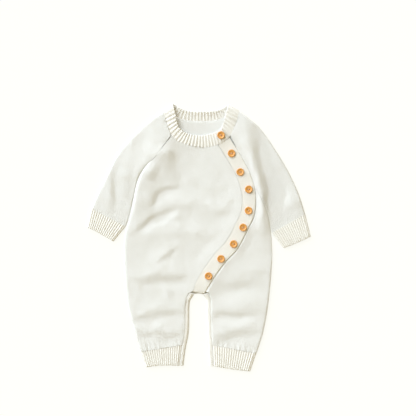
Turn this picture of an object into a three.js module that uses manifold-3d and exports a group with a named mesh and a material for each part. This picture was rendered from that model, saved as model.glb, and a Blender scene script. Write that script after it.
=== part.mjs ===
// A baby romper in fine knit, laid flat on its back with the buttoned front up.
// Sizes are in millimetres: X runs to the wearer's left, Y to the neck and Z up from the surface it lies on.
// Every piece of cloth is a thin wall, built from a short table of its edges and one shared height of the cloth.
import * as THREE from "three";
import { mergeVertices } from "three/addons/utils/BufferGeometryUtils.js";
import Module from "manifold-3d";

// Walls, and how high the layers lie
const CLOTH = 2.4;
const SEAM_GAP = 0.4;
const LAYER_GAP = 0.3;
const LAY = 7.2;
const LAY_LEAST = CLOTH * 2 + LAYER_GAP * 2;
const UNDER_TOP = 5.1;
const EDGE_TOP = 4.1;
const EDGE_ROLL = 11;
const TAPER = 0.12;
const NOSE = 2.6;

// The button band, its ribs' cuffs and the buttons
const BAND_WALL = 2.6;
const BAND_WIDTH = 27;
const BAND_DIP = 15;
const BAND_LIFT = 30;
const BAND_CREST = 0.5;
const CUFF_HEIGHT = 6.6;
const CUFF_RIB = 0.55;
const CUFF_RIBS = 15;
const COLLAR_RIB = 0.6;
const COLLAR_RIB_PITCH = 6.5;
const SEAM_PLACES = [0, 1.5, 5, 11];
const DIP_PLACES = [18, 27, 33, 40];
const GATHER = 0.35;
const GATHER_REACH = 12;
const STRIP_TOP = 6;
const BUTTON_RADIUS = 7.7;
const BUTTON_THICK = 3;
const BUTTON_HOLE = 1.1;
const BUTTON_HOLE_SPACING = 3.6;

const COLOURS = { cloth: 0xf4f3ea, rib: 0xf6f4e8, wood: 0xe7a552 };

const mix = (a, b, t) => a + (b - a) * t;
const clamp01 = (t) => Math.min(1, Math.max(0, t));
const smooth = (t) => clamp01(t) ** 2 * (3 - 2 * clamp01(t));
const quarterRound = (t) => Math.sqrt(1 - (1 - clamp01(t)) ** 2);

// A table whose columns have names, as a list of rows.
function table(columns, rows) {
  const names = columns.split(" ");
  return rows.map((row) => Object.fromEntries(row.map((value, i) => [names[i], value])));
}

// Creases of the cloth: each runs from one point to another with a bow to its left, and rises or sinks
// over a width to its left and another to its right, so that one side can be steep.
const FOLDS = table("x0 y0 x1 y1 bow left right rise", [
  [-126, 20, -106, 142, 3, 18, 30, 3.4],
  [-118, 118, -58, 208, 0, 36, 24, 3.4],
  [-62, 96, -58, 190, 0, 16, 17, 2],
  [-43, 104, -46, 198, 0, 17, 50, -2],
  [-94, 64, -46, 100, 6, 7, 13, -2.6],
  [-125, 10, -56, 51, 3, 7, 10, -2.6],
  [-66, 66, 0, 68, 0, 18, 11, 1.9],
  [0, 60, 74, 50, 2, 20, 13, 2],
  [48, 66, 74, 80, 3, 12, 8, 1],
  [-108, 6, 68, 12, 0, 20, 17, 1.9],
  [-62, 44, -36, 44, 0, 8, 8, 1],
  [-90, -48, -42, -14, 2, 14, 8, 2],
  [-126, -76, -22, -72, 3, 24, 12, 2.4],
  [-112, -92, -30, -92, 2, 7, 9, -1.2],
  [-130, -82, -118, -106, 0, 9, 9, 1.4],
  [-68, -102, -62, -118, 0, 8, 7, 0.9],
  [50, -70, 132, -64, 0, 22, 26, 1.5],
  [34, -112, 108, -102, 0, 15, 12, -2.2],
  [-126, -152, -34, -142, 2, 20, 11, 1.9],
  [-120, -166, -36, -156, 3, 9, 13, -1],
  [-118, -186, -36, -184, 0, 16, 10, 1.6],
  [-112, -203, -92, -201, 0, 7, 10, -1.2],
  [-72, -201, -50, -205, 0, 7, 10, -1.2],
  [30, -142, 128, -140, 0, 15, 16, 1.7],
  [28, -159, 114, -158, 0, 7, 15, -2],
  [34, -190, 118, -174, 2, 16, 14, 1.6],
  [30, -217, 114, -190, 5, 9, 13, -1.5],
  [142, -8, 92, 224, 3, 17, 17, 3.4],
  [153, -16, 118, 216, -5, 13, 7, -2.6],
  [153, 30, 146, 168, 0, 7, 12, 2.4],
  [112, 120, 113, 150, 0, 7, 7, -0.9],
  [166, 66, 204, 74, 0, 13, 12, 1.8],
  [177, 20, 172, 60, 0, 12, 9, 1],
  [-140, 158, -133, 208, 0, 9, 8, 1.1],
  [-152, 86, -146, 142, 0, 12, 12, 2.2],
  [-134, 84, -130, 128, 0, 8, 7, -1.8],
  [-181, 60, -176, 140, 0, 10, 8, 1.3],
  [-167, 50, -163, 140, 0, 7, 12, -1.3],
]);

// The button band from the neck to the crotch, by its outer and inner edges.
const BAND = table("outerX outerY innerX innerY top", [
  [61.8, 199.5, 38.6, 185.6, 8.4],
  [79, 173, 55.5, 159.5, 8.5],
  [97.2, 140.5, 72.5, 129.5, 8.6],
  [108.4, 110.5, 82.6, 102.6, 8.8],
  [113.8, 80, 86.8, 79.5, 9.1],
  [110, 43.3, 83.8, 50, 9.4],
  [97, 15, 73.3, 28, 9.5],
  [76.6, -23.3, 54.6, -7.7, 9.5],
  [55.6, -45.7, 35.2, -28.1, 9.4],
  [37, -70.5, 14.6, -55.5, 9.2],
  [22, -94, -2, -81, 8.9],
  [11, -112, -12.5, -108, 8.5],
]);

// The front that laps over: the far edge for each row of the band, and how much that edge rolls down.
const OVER_BODY = table("x y roll", [
  [-54.5, 204.3, 0],
  [-70, 184.5, 0],
  [-87, 161, 0],
  [-106, 143, 0.2],
  [-122, 114.5, 0.8],
  [-130.5, 80, 1],
  [-139.2, 41, 1],
  [-148.3, 5, 1],
  [-149.4, -25, 1],
  [-148.6, -56, 1],
  [-147, -86, 1],
  [-144.2, -112.5, 1],
]);
const OVER_LEG = table("leftX leftY rightX rightY", [
  [-143.4, -119, -18.9, -109.4],
  [-142, -130, -25.6, -123.4],
  [-140, -140, -27.6, -136.8],
  [-136.6, -154.6, -28.1, -154.6],
  [-130.8, -176, -28.2, -175.4],
  [-122.4, -206, -30.2, -197.4],
  [-116.8, -227.6, -33.4, -214],
]);
const OVER_NECK = table("x y", [
  [-54.5, 204.3],
  [-43.5, 193.4],
  [-24, 185.9],
  [4, 180.8],
  [24, 182],
  [38.2, 185.3],
]);

// The front that lies under the band, from its hidden edge to the wearer's left side.
const UNDER_FRONT = table("leftX leftY leftRoll rightX rightY rightRoll", [
  [47.5, 190.6, 0, 59.5, 197.2, 0],
  [58.5, 160, 0, 77.6, 172.4, 0],
  [75.5, 131, 0, 95.8, 139.9, 0],
  [85.5, 104, 0, 107.4, 110.2, 0],
  [90, 79.5, 0, 124.4, 79.5, 0.9],
  [86.5, 51, 0, 137.2, 50, 1],
  [76, 29, 0, 143, 20, 1],
  [57.5, -6, 0, 146, -16, 1],
  [38, -26.5, 0, 146.5, -42, 1],
  [17.5, -54, 0, 144.8, -70, 1],
  [8, -83, 0, 142.6, -96, 1],
  [9.4, -106, 0, 140.2, -118, 1],
  [19, -110.5, 0.5, 139, -130, 1],
  [23.7, -122.4, 1, 137.4, -141, 1],
  [24.1, -136.4, 1, 135.2, -155, 1],
  [24.5, -154.8, 1, 132.2, -171, 1],
  [25.3, -178.8, 1, 127.6, -192.5, 1],
  [26.3, -199.6, 1, 120.4, -215, 1],
  [27, -214, 1, 115.2, -231, 1],
]);

// Each sleeve's rows from the neck to its cuff: the outer fold, the front edge and the back edge.
const SLEEVE_RIGHT = table("foldX foldY frontX frontY backX backY roll", [
  [-72.6, 252.8, -56, 205, -45.6, 240.6, 0],
  [-102.4, 233, -70.8, 185, -61.6, 206.6, 0],
  [-122, 214, -87.8, 161.6, -82, 170, 0],
  [-142.4, 194.1, -107, 143.4, -107, 143.4, 0.3],
  [-162.4, 169.1, -123, 115, -123, 115, 1],
  [-178, 140, -131.4, 80.2, -131.4, 80.2, 1],
  [-195, 106, -137.6, 54, -137.6, 54, 1],
  [-209, 75, -143.6, 32, -143.6, 32, 1],
  [-216, 59.4, -146.6, 22.6, -146.6, 22.6, 1],
]);
const SLEEVE_LEFT = table("foldX foldY frontX frontY backX backY roll", [
  [79.8, 253.2, 63.2, 203.8, 51.6, 240.6, 0],
  [103.6, 236, 78.6, 173.2, 68.2, 205, 0],
  [120.6, 220.9, 96.8, 140.6, 88.2, 165, 0],
  [137.4, 199.1, 108.4, 111, 108.4, 111, 0],
  [156.2, 170.9, 125.4, 80, 125.4, 80, 0.4],
  [176.4, 137.5, 133, 63.6, 133, 63.6, 0.5],
  [191.4, 107.5, 138.2, 50.4, 138.2, 50.4, 0.7],
  [203.2, 79, 143.4, 24, 143.4, 24, 1],
  [213, 47, 146.4, 10.4, 146.4, 10.4, 1],
]);

// The neck edges of the two sleeves, over the front and over the back.
const SLEEVE_RIGHT_NECK = {
  front: table("x y", [
    [-72.6, 252.8],
    [-67, 238],
    [-62.4, 222],
    [-56, 205],
  ]),
  back: table("x y", [
    [-72.6, 252.8],
    [-66, 250.6],
    [-45.6, 240.6],
  ]),
};
const SLEEVE_LEFT_NECK = {
  front: table("x y", [
    [79.8, 253.2],
    [77.4, 238],
    [71.4, 221.8],
    [63.2, 203.8],
  ]),
  back: table("x y", [
    [79.8, 253.2],
    [73.6, 251.4],
    [51.6, 240.6],
  ]),
};

// The back, from the neck's middle down the wearer's left side, up between the legs and back up the right side.
const BACK_NECK = table("x y", [
  [-45, 240.4],
  [-22, 235],
  [4, 233.6],
  [30, 235],
  [51, 240.4],
]);
const BACK_LEFT = table("x y", [
  [51, 240.4],
  [67.6, 204.8],
  [87.6, 164.8],
  [107.8, 110.6],
  [124.6, 79.6],
  [137.4, 50],
  [143.2, 20],
  [146.2, -16],
  [146.7, -42],
  [145, -70],
  [142.8, -96],
  [140.4, -120],
  [134.2, -163],
  [127.8, -192.5],
  [120.6, -215],
  [115.4, -231],
]);
const BACK_CROTCH = table("x y", [
  [8.8, -114],
  [0, -112],
  [-9.2, -113.2],
]);
const BACK_RIGHT = table("x y", [
  [-116.8, -227.6],
  [-122.4, -206],
  [-130.8, -176],
  [-137.6, -151],
  [-144.4, -112.5],
  [-147.2, -86],
  [-149.6, -25],
  [-148.5, 5],
  [-139.4, 41],
  [-130.7, 80],
  [-122.2, 114.5],
  [-106.4, 142.8],
  [-81.4, 169.8],
  [-61, 206.4],
  [-45, 240.4],
]);

// The bindings of the inner legs, from the crotch to the hem: the outer edge, and the seam to the leg.
const STRIP_RIGHT = table("edgeX edgeY seamX seamY", [
  [-9.8, -114.2, -17.6, -110.4],
  [-17.4, -126, -25, -123.4],
  [-19, -138, -27, -136.8],
  [-19.3, -155, -27.5, -154.6],
  [-19.4, -176, -27.6, -175.4],
  [-21.6, -199, -29.6, -197.4],
  [-24.8, -213.4, -32.6, -212],
  [-27.4, -228.5, -34.8, -227.6],
  [-29.2, -242, -36.3, -241.6],
  [-30.8, -255.8, -38, -256],
]);
const STRIP_LEFT = table("edgeX edgeY seamX seamY", [
  [9.4, -115, 17.2, -111.4],
  [15, -124, 23, -122.4],
  [15.3, -137, 23.4, -136.4],
  [15.6, -155, 23.8, -154.8],
  [16.4, -179, 24.6, -178.8],
  [17.4, -200, 25.6, -199.6],
  [18.4, -213, 26.4, -212.8],
  [18.9, -229, 26.8, -229],
  [19.8, -243, 27.8, -243.2],
  [20.8, -256, 28.6, -257.2],
]);

// The four cuffs: their corners at the seam and at the hem, and how far the hem bows out.
const CUFFS = table("name seamLeftX seamLeftY seamRightX seamRightY hemLeftX hemLeftY hemRightX hemRightY bow", [
  ["sleeve_cuff_right", -216, 58.8, -146.9, 22, -224, 21, -171, -7.6, -1],
  ["sleeve_cuff_left", 146.8, 9.8, 213, 46.4, 169.4, -20.8, 224, 2.6, 1],
  ["leg_cuff_right", -116.4, -228.4, -34, -215, -105.8, -259, -38.7, -256.2, -2],
  ["leg_cuff_left", 27.1, -215.2, 114.8, -231.8, 29.3, -257, 102.6, -267.4, 1],
]);

// The collar strip, from its hidden end at the button round the back to its lapped end.
// Each row has the seam's edge, the free edge, the middle of the cloth there, and how strongly the ribs stand.
const COLLAR = table("seamX seamY seamZ freeX freeY freeZ rib", [
  [45, 190.8, 4.4, 34, 210, 4.4, 0.5],
  [56, 197.4, 4.4, 42, 217, 4.6, 0.5],
  [63, 205, 4.5, 46.5, 225, 5.4, 0.8],
  [70.6, 222, 6, 50.5, 236, 8, 1],
  [76.6, 238, 6.2, 54, 251, 8.6, 1],
  [79, 249.6, 5.6, 57.2, 261.4, 7.6, 0],
  [79.2, 253.6, 3.6, 58.6, 265.4, 4.8, 0],
  [74, 252.3, 1.3, 54.5, 263.4, 2.2, 0],
  [51, 241.6, 1.3, 42, 256.2, 3.4, 0.8],
  [30, 236, 1.3, 28, 253, 4, 1],
  [4, 234.5, 1.3, 4, 252, 4.2, 1],
  [-22, 236, 1.3, -20, 253.2, 4, 1],
  [-45, 241.6, 1.3, -36, 258.2, 3.2, 0.8],
  [-66, 251.6, 1.3, -47.6, 265, 2.2, 0],
  [-72, 253.4, 3.6, -51.8, 267.6, 5, 0],
  [-71, 249.2, 5.6, -50.4, 262.6, 8.4, 0],
  [-66.2, 238, 6.2, -46.6, 247, 9.8, 1],
  [-61.6, 222, 6.2, -43.6, 233, 9.6, 1],
  [-55.2, 206, 6.2, -40, 221.6, 9, 1],
  [-43.5, 194.4, 6.2, -29.6, 212.2, 8.6, 1],
  [-24, 186.9, 6.2, -17, 207.2, 8.4, 1],
  [4, 181.8, 6.2, 4, 204.8, 8.2, 1],
  [24, 183, 6.6, 20, 207.4, 8.4, 1],
  [42, 188.4, 7.7, 34.4, 212.6, 8.9, 0.8],
  [59.4, 199.4, 8, 46, 218.4, 9.2, 0.5],
]);

// Each button's middle, and how far its holes are turned, in degrees.
const BUTTONS = table("x y turn", [
  [44.2, 205.1, -38],
  [65.2, 168.9, 20],
  [82.6, 131.5, -12],
  [99.4, 96.9, 0],
  [99.2, 54.3, -45],
  [88.2, 20.7, 30],
  [69.2, -12.3, -20],
  [44, -42.1, 12],
  [19.2, -76.5, -30],
]);

// A smooth line through points, read from 0 to 1 with the points evenly spread.
function line(points) {
  const knots = points.map(({ x, y, z = 0 }) => new THREE.Vector3(x, y, z));
  const curve = new THREE.CatmullRomCurve3(knots, false, "centripetal");
  return (t) => curve.getPoint(clamp01(t));
}

// Two lines in a row, read from 0 to 1, with the first one's share of the way.
function chain(first, second, share) {
  return (t) => (t <= share ? first(t / share) : second((t - share) / (1 - share)));
}

// A column of numbers, read from 0 to 1.
function ramp(values) {
  return (t) => {
    const place = clamp01(t) * (values.length - 1);
    const i = Math.min(values.length - 2, Math.floor(place));
    return mix(values[i], values[i + 1], place - i);
  };
}

// The part of a crease that a point takes, from its distance to the crease's bowed line.
function creaseAt(fold, x, y) {
  const [dx, dy] = [fold.x1 - fold.x0, fold.y1 - fold.y0];
  const length = Math.hypot(dx, dy);
  const along = ((x - fold.x0) * dx + (y - fold.y0) * dy) / length ** 2;
  const inside = clamp01(along);
  const across = ((x - fold.x0) * -dy + (y - fold.y0) * dx) / length - 4 * fold.bow * inside * (1 - inside);
  const beyond = (along - inside) * length;
  const width = across > 0 ? fold.left : fold.right;
  const short = Math.min(fold.left, fold.right);
  const least = Math.sin(Math.PI * TAPER);
  const ends = least + (1 - least) * Math.sin(Math.PI * inside);
  return fold.rise * ends * Math.exp(-((across / width) ** 2) - (beyond / short) ** 2);
}

// The height of the cloth's upper face where only two layers lie.
function lay(x, y) {
  return Math.max(
    LAY_LEAST,
    FOLDS.reduce((z, fold) => z + creaseAt(fold, x, y), LAY),
  );
}

const bandOuter = line(BAND.map((row) => ({ x: row.outerX, y: row.outerY })));
const bandInner = line(BAND.map((row) => ({ x: row.innerX, y: row.innerY })));
const bandTop = ramp(BAND.map((row) => row.top));
const bandSamples = Array.from({ length: 100 }, (_, i) => bandOuter(i / 99));

// How far a point lies past the band's outer edge, to the wearer's left of it, and how far down the band.
function byBand(x, y) {
  let nearest = 0;
  let least = Infinity;
  bandSamples.forEach((p, i) => {
    const away = Math.hypot(x - p.x, y - p.y);
    if (away < least) [least, nearest] = [away, i];
  });
  const i = Math.min(nearest, bandSamples.length - 2);
  const way = bandSamples[i + 1].clone().sub(bandSamples[i]);
  const side = way.x * (y - bandSamples[i].y) - way.y * (x - bandSamples[i].x);
  return { past: Math.sign(side) * least, down: nearest / (bandSamples.length - 1) };
}

// The upper face of the cloth that dives under the band, and of the cloth and band that lie over it.
function underTop(x, y) {
  return mix(UNDER_TOP, lay(x, y), smooth((byBand(x, y).past - 1) / BAND_DIP));
}
function overTop(x, y) {
  const { past, down } = byBand(x, y);
  const lifted = bandTop(down) + Math.max((lay(x, y) - LAY) / 3, -BAND_CREST);
  return mix(lifted, lay(x, y), smooth((-past - BAND_WIDTH) / BAND_LIFT));
}

// A patch between two side lines whose first row follows a curved top line.
function patch(left, right, top) {
  return (u, v) => {
    const point = left(v).lerp(right(v), u);
    const bend = top ? top(u).sub(left(0).lerp(right(0), u)) : new THREE.Vector3();
    return point.addScaledVector(bend, (1 - v) ** 3);
  };
}

// A closed wall from two grids of points, its upper or outer face and its lower or inner one.
function wall(outer, inner, closedAround = false) {
  const rows = outer.length;
  const columns = outer[0].length;
  const at = (side, i, j) => (side * rows + i) * columns + (j % columns);
  const faces = [];
  const quad = (a, b, c, d) => faces.push(a, b, c, a, c, d);
  const last = closedAround ? columns : columns - 1;
  for (let i = 0; i < rows - 1; i++)
    for (let j = 0; j < last; j++) {
      quad(at(0, i, j), at(0, i + 1, j), at(0, i + 1, j + 1), at(0, i, j + 1));
      quad(at(1, i, j), at(1, i, j + 1), at(1, i + 1, j + 1), at(1, i + 1, j));
    }
  for (let j = 0; j < last; j++) {
    quad(at(0, 0, j), at(0, 0, j + 1), at(1, 0, j + 1), at(1, 0, j));
    quad(at(0, rows - 1, j), at(1, rows - 1, j), at(1, rows - 1, j + 1), at(0, rows - 1, j + 1));
  }
  if (!closedAround)
    for (let i = 0; i < rows - 1; i++) {
      quad(at(0, i, 0), at(1, i, 0), at(1, i + 1, 0), at(0, i + 1, 0));
      quad(at(0, i, last), at(0, i + 1, last), at(1, i + 1, last), at(1, i, last));
    }
  const points = [...outer.flat(), ...inner.flat()];
  let sixfold = 0;
  for (let i = 0; i < faces.length; i += 3) {
    const [a, b, c] = [0, 1, 2].map((k) => points[faces[i + k]]);
    sixfold += a.dot(b.clone().cross(c));
  }
  if (sixfold < 0) faces.reverse();
  const geometry = new THREE.BufferGeometry().setFromPoints(points).setIndex(faces);
  geometry.computeVertexNormals();
  return geometry;
}

// Places across a piece, as shares of its width: at set distances from its two edges, even between.
function columnShares(width, leftEdges, rightEdges, between) {
  const reach = leftEdges[leftEdges.length - 1] + rightEdges[rightEdges.length - 1];
  const scale = Math.min(1, (0.9 * width) / reach) / width;
  const near = leftEdges.map((d) => d * scale);
  const far = rightEdges.map((d) => 1 - d * scale).reverse();
  const even = Array.from({ length: between }, (_, i) => (i + 1) / (between + 1));
  return [...near, ...even.map((t) => mix(near[near.length - 1], far[0], t)), ...far];
}

// A panel of the front that lies over the back: its edges roll down by the rolls, and its leg is gathered to a cuff.
function frontPanel(at, rolls, topOf, rowCount, edges, between) {
  const hemLength = at(0.5, 1).distanceTo(at(0.5, 0.9)) * 10;
  const outer = [];
  const inner = [];
  for (let i = 0; i < rowCount; i++) {
    const v = i / (rowCount - 1);
    const width = at(0, v).distanceTo(at(1, v));
    const shares = columnShares(width, ...edges, between);
    const gather = GATHER * Math.exp((-(1 - v) * hemLength) / GATHER_REACH);
    const upper = shares.map((u, k) => {
      const point = at(u, v);
      const full = topOf(point.x, point.y);
      const distances = [u * width, (1 - u) * width];
      let z = full + (k % 2 ? gather : -gather);
      distances.forEach((d, side) => {
        const down = 1 - quarterRound(d / EDGE_ROLL);
        z -= rolls[side](v) * down * (full - EDGE_TOP);
      });
      return point.setZ(z);
    });
    outer.push(upper);
    inner.push(upper.map((p) => p.clone().setZ(Math.max(p.z - CLOTH, CLOTH + LAYER_GAP))));
  }
  return wall(outer, inner);
}

function overFront() {
  const rightBody = BAND.map((row) => {
    const [x, y] = [row.innerX - row.outerX, row.innerY - row.outerY];
    const grow = (SEAM_GAP + LAYER_GAP / 2) / Math.hypot(x, y);
    return { x: row.innerX + x * grow, y: row.innerY + y * grow };
  });
  const left = line([...OVER_BODY, ...OVER_LEG.map((row) => ({ x: row.leftX, y: row.leftY }))]);
  const rightLeg = [rightBody[rightBody.length - 1], ...OVER_LEG.map((row) => ({ x: row.rightX, y: row.rightY }))];
  const bodyShare = (BAND.length - 1) / (BAND.length + OVER_LEG.length - 1);
  const right = chain(line(rightBody), line(rightLeg), bodyShare);
  const legs = OVER_LEG.map(() => 1);
  const rolls = [ramp([...OVER_BODY.map((row) => row.roll), ...legs]), ramp([...BAND.map(() => 0), ...legs])];
  const rowCount = 2 * (BAND.length + OVER_LEG.length) - 1;
  return frontPanel(patch(left, right, line(OVER_NECK)), rolls, overTop, rowCount, [SEAM_PLACES, SEAM_PLACES], 14);
}

function underFront() {
  const left = line(UNDER_FRONT.map((row) => ({ x: row.leftX, y: row.leftY })));
  const right = line(UNDER_FRONT.map((row) => ({ x: row.rightX, y: row.rightY })));
  const rolls = [ramp(UNDER_FRONT.map((row) => row.leftRoll)), ramp(UNDER_FRONT.map((row) => row.rightRoll))];
  const edges = [[...SEAM_PLACES, ...DIP_PLACES], SEAM_PLACES];
  return frontPanel(patch(left, right), rolls, underTop, 2 * UNDER_FRONT.length - 1, edges, 6);
}

// The band lies over both fronts; it is crowned a little, and its outer edge is soft.
function buttonBand() {
  const shares = [0, 0.06, 0.25, 0.75, 0.95, 1];
  const drops = [0.9, 0.25, 0, 0, 0.15, 0.6];
  const rowCount = 3 * (BAND.length - 1) + 1;
  const outer = Array.from({ length: rowCount }, (_, i) => {
    const v = i / (rowCount - 1);
    return shares.map((u, k) => {
      const point = bandOuter(v).lerp(bandInner(v), u);
      return point.setZ(overTop(point.x, point.y) - drops[k]);
    });
  });
  const inner = outer.map((row) => row.map((p, k) => p.clone().setZ(p.z + drops[k] - BAND_WALL)));
  return wall(outer, inner);
}

// A sleeve is one sheet bent round its outer fold, with its two edges at the raglan seams and the underarm seam.
function sleeve(rows, neck, topOf) {
  const fold = line(rows.map((row) => ({ x: row.foldX, y: row.foldY })));
  const front = patch(fold, line(rows.map((row) => ({ x: row.frontX, y: row.frontY }))), line(neck.front));
  const back = patch(fold, line(rows.map((row) => ({ x: row.backX, y: row.backY }))), line(neck.back));
  const roll = ramp(rows.map((row) => row.roll));
  const nearFold = [0.25, 1.6, 4.5, EDGE_ROLL];
  const nearEdge = [EDGE_ROLL, 4, 1.2, 0];
  const outer = [];
  const inner = [];
  const rowCount = 2 * rows.length - 1;
  for (let i = 0; i < rowCount; i++) {
    const v = i / (rowCount - 1);
    const width = front(0, v).distanceTo(front(1, v));
    const even = [1, 2, 3, 4].map((k) => mix(EDGE_ROLL, width - EDGE_ROLL, k / 5));
    const shares = [...nearFold, ...even, ...nearEdge.map((d) => width - d)].map((d) => d / width);
    const inset = (u) => mix(CLOTH / width, 1, u);
    const frontZ = (point, u) => {
      const full = topOf(point.x, point.y);
      const fromFold = 1 - quarterRound((u * width) / EDGE_ROLL);
      const fromEdge = roll(v) * (1 - quarterRound(((1 - u) * width) / EDGE_ROLL));
      return full - fromFold * (full - NOSE) - fromEdge * (full - EDGE_TOP);
    };
    const upper = shares.map((u) => {
      const point = front(u, v);
      return point.setZ(frontZ(point, u));
    });
    const underUpper = shares.map((u, k) => {
      const point = front(inset(u), v);
      const least = CLOTH + LAYER_GAP + (k === 0 ? 0 : 0.1);
      return point.setZ(Math.max(upper[k].z - CLOTH, least));
    });
    const backShares = [0, 0.006, 0.02, 0.34, 0.67, 1];
    const lower = backShares.map((u, k) => back(u, v).setZ([NOSE - 0.6, 0.6, 0, 0, 0, 0][k]));
    const overLower = backShares.map((u) => back(inset(u), v).setZ(CLOTH));
    overLower[0].z = CLOTH + LAYER_GAP / 3;
    outer.push([...upper.reverse(), ...lower]);
    inner.push([...underUpper.reverse(), ...overLower]);
  }
  return wall(outer, inner);
}

// A leg's binding is a narrow sheet folded round the edge of the leg, over the front and under the back.
function legStrip(rows) {
  const edge = line(rows.map((row) => ({ x: row.edgeX, y: row.edgeY })));
  const seam = line(rows.map((row) => ({ x: row.seamX, y: row.seamY })));
  const outerPath = table("share z", [
    [1, STRIP_TOP - 0.7],
    [0.6, STRIP_TOP],
    [0.25, STRIP_TOP - 0.3],
    [0.04, STRIP_TOP - 1.8],
    [0, STRIP_TOP / 2],
    [0.06, 0.9],
    [0.2, 0],
    [1, 0],
  ]);
  const innerPath = table("share z", [
    [1, STRIP_TOP - 0.7 - CLOTH],
    [0.6, STRIP_TOP - CLOTH],
    [0.42, STRIP_TOP - 0.2 - CLOTH],
    [0.36, STRIP_TOP - 0.5 - CLOTH],
    [0.33, STRIP_TOP / 2],
    [0.36, CLOTH + 0.2],
    [0.42, CLOTH],
    [1, CLOTH],
  ]);
  const rowCount = 2 * rows.length - 1;
  const grid = (path) =>
    Array.from({ length: rowCount }, (_, i) => {
      const v = i / (rowCount - 1);
      return path.map(({ share, z }) => edge(v).lerp(seam(v), share).setZ(z));
    });
  return wall(grid(outerPath), grid(innerPath));
}

// A cuff is a flattened ring: ribs stand on its upper side, and its under side is plain where it rests.
function cuff(row) {
  const corner = (name) => new THREE.Vector3(row[name + "X"], row[name + "Y"], 0);
  const [seamLeft, seamRight] = [corner("seamLeft"), corner("seamRight")];
  const [hemLeft, hemRight] = [corner("hemLeft"), corner("hemRight")];
  const outward = new THREE.Vector3(hemRight.y - hemLeft.y, hemLeft.x - hemRight.x, 0).normalize();
  const half = CUFF_HEIGHT / 2;
  const outer = [];
  const inner = [];
  for (const v of [0, 0.5, 1]) {
    const left = seamLeft.clone().lerp(hemLeft, v);
    const right = seamRight.clone().lerp(hemRight, v);
    const width = left.distanceTo(right);
    const at = (u) => left.clone().lerp(right, u).addScaledVector(outward, 4 * row.bow * v * u * (1 - u));
    const inset = (u) => mix(CLOTH / width, 1 - CLOTH / width, u);
    const steps = 2 * CUFF_RIBS;
    const upper = Array.from({ length: steps + 1 }, (_, k) => (k + 0.5) / (steps + 2));
    const plain = (u) => half + (CUFF_HEIGHT - half) * quarterRound(Math.min(u, 1 - u) * (width / 6));
    const lowerShares = [0.985, 0.75, 0.5, 0.25, 0.015];
    outer.push([
      at(0).setZ(half - 0.8),
      ...upper.map((u, k) => at(u).setZ(plain(u) + (k % 2 ? CUFF_RIB : -CUFF_RIB))),
      at(1).setZ(half - 0.8),
      ...lowerShares.map((u) => at(u).setZ(0)),
    ]);
    inner.push([
      at(inset(0)).setZ(half),
      ...upper.map((u) => at(inset(u)).setZ(Math.max(plain(u) - CLOTH, CLOTH + LAYER_GAP))),
      at(inset(1)).setZ(half),
      ...lowerShares.map((u) => at(inset(u)).setZ(CLOTH)),
    ]);
  }
  return wall(outer, inner, true);
}

// The collar is one ribbed strip: its wall waves with the ribs, and rests flat on the surface at the back.
const collarSeam = line(COLLAR.map((row) => ({ x: row.seamX, y: row.seamY, z: row.seamZ })));
const collarFree = line(COLLAR.map((row) => ({ x: row.freeX, y: row.freeY, z: row.freeZ })));
const collarRib = ramp(COLLAR.map((row) => row.rib));
function collarNormal(t) {
  const step = 1e-3;
  const along = collarSeam(t + step).add(collarFree(t + step)).sub(collarSeam(t - step)).sub(collarFree(t - step));
  return collarFree(t).sub(collarSeam(t)).cross(along).normalize().negate();
}
function collar() {
  const places = [0];
  COLLAR.slice(1).forEach((row, i) => {
    const from = COLLAR[i];
    const middle = [
      (row.seamX + row.freeX - from.seamX - from.freeX) / 2,
      (row.seamY + row.freeY - from.seamY - from.freeY) / 2,
    ];
    const ribs = Math.max(1, Math.round(Math.hypot(...middle) / COLLAR_RIB_PITCH));
    for (let k = 1; k <= 2 * ribs; k++) places.push((i + k / (2 * ribs)) / (COLLAR.length - 1));
  });
  const shares = [0.02, 0.5, 1];
  const faceAt = (side) =>
    shares.map((share) =>
      places.map((t, k) => {
        const point = collarSeam(t).lerp(collarFree(t), share);
        const wave = (k % 2 ? 1 : -1) * COLLAR_RIB * collarRib(t);
        point.addScaledVector(collarNormal(t), (side * CLOTH) / 2 + wave);
        return point.setZ(Math.max(0, point.z));
      }),
    );
  return wall(faceAt(1), faceAt(-1));
}

const wasm = await Module();
wasm.setup();
function toManifold(geometry) {
  const bare = geometry.clone();
  for (const name of ["normal", "uv"]) bare.deleteAttribute(name);
  const merged = mergeVertices(bare, 1e-3);
  return new wasm.Manifold(
    new wasm.Mesh({
      numProp: 3,
      vertProperties: merged.attributes.position.array,
      triVerts: new Uint32Array(merged.index.array),
    }),
  );
}
function fromManifold(body) {
  const mesh = body.getMesh();
  const geometry = new THREE.BufferGeometry();
  geometry.setAttribute("position", new THREE.BufferAttribute(mesh.vertProperties, 3));
  geometry.setIndex(new THREE.BufferAttribute(mesh.triVerts, 1));
  geometry.computeVertexNormals();
  return geometry;
}

// A wooden button: a turned disc with a raised rim, a dished middle and two sewing holes.
function button() {
  const rim = BUTTON_RADIUS;
  const profile = [
    [0, 0],
    [rim - 1, 0],
    [rim, BUTTON_THICK * 0.45],
    [rim - 0.9, BUTTON_THICK],
    [rim - 2.4, BUTTON_THICK * 0.68],
    [0, BUTTON_THICK * 0.62],
  ];
  const disc = new THREE.LatheGeometry(
    profile.map(([x, y]) => new THREE.Vector2(x, y)),
    16,
  ).rotateX(Math.PI / 2);
  const holes = [-1, 1].map((side) => {
    const hole = new THREE.CylinderGeometry(BUTTON_HOLE, BUTTON_HOLE, 3 * BUTTON_THICK, 8).rotateX(Math.PI / 2);
    return toManifold(hole.translate((side * BUTTON_HOLE_SPACING) / 2, 0, 0));
  });
  return fromManifold(holes.reduce((body, hole) => body.subtract(hole), toManifold(disc)));
}

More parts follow.
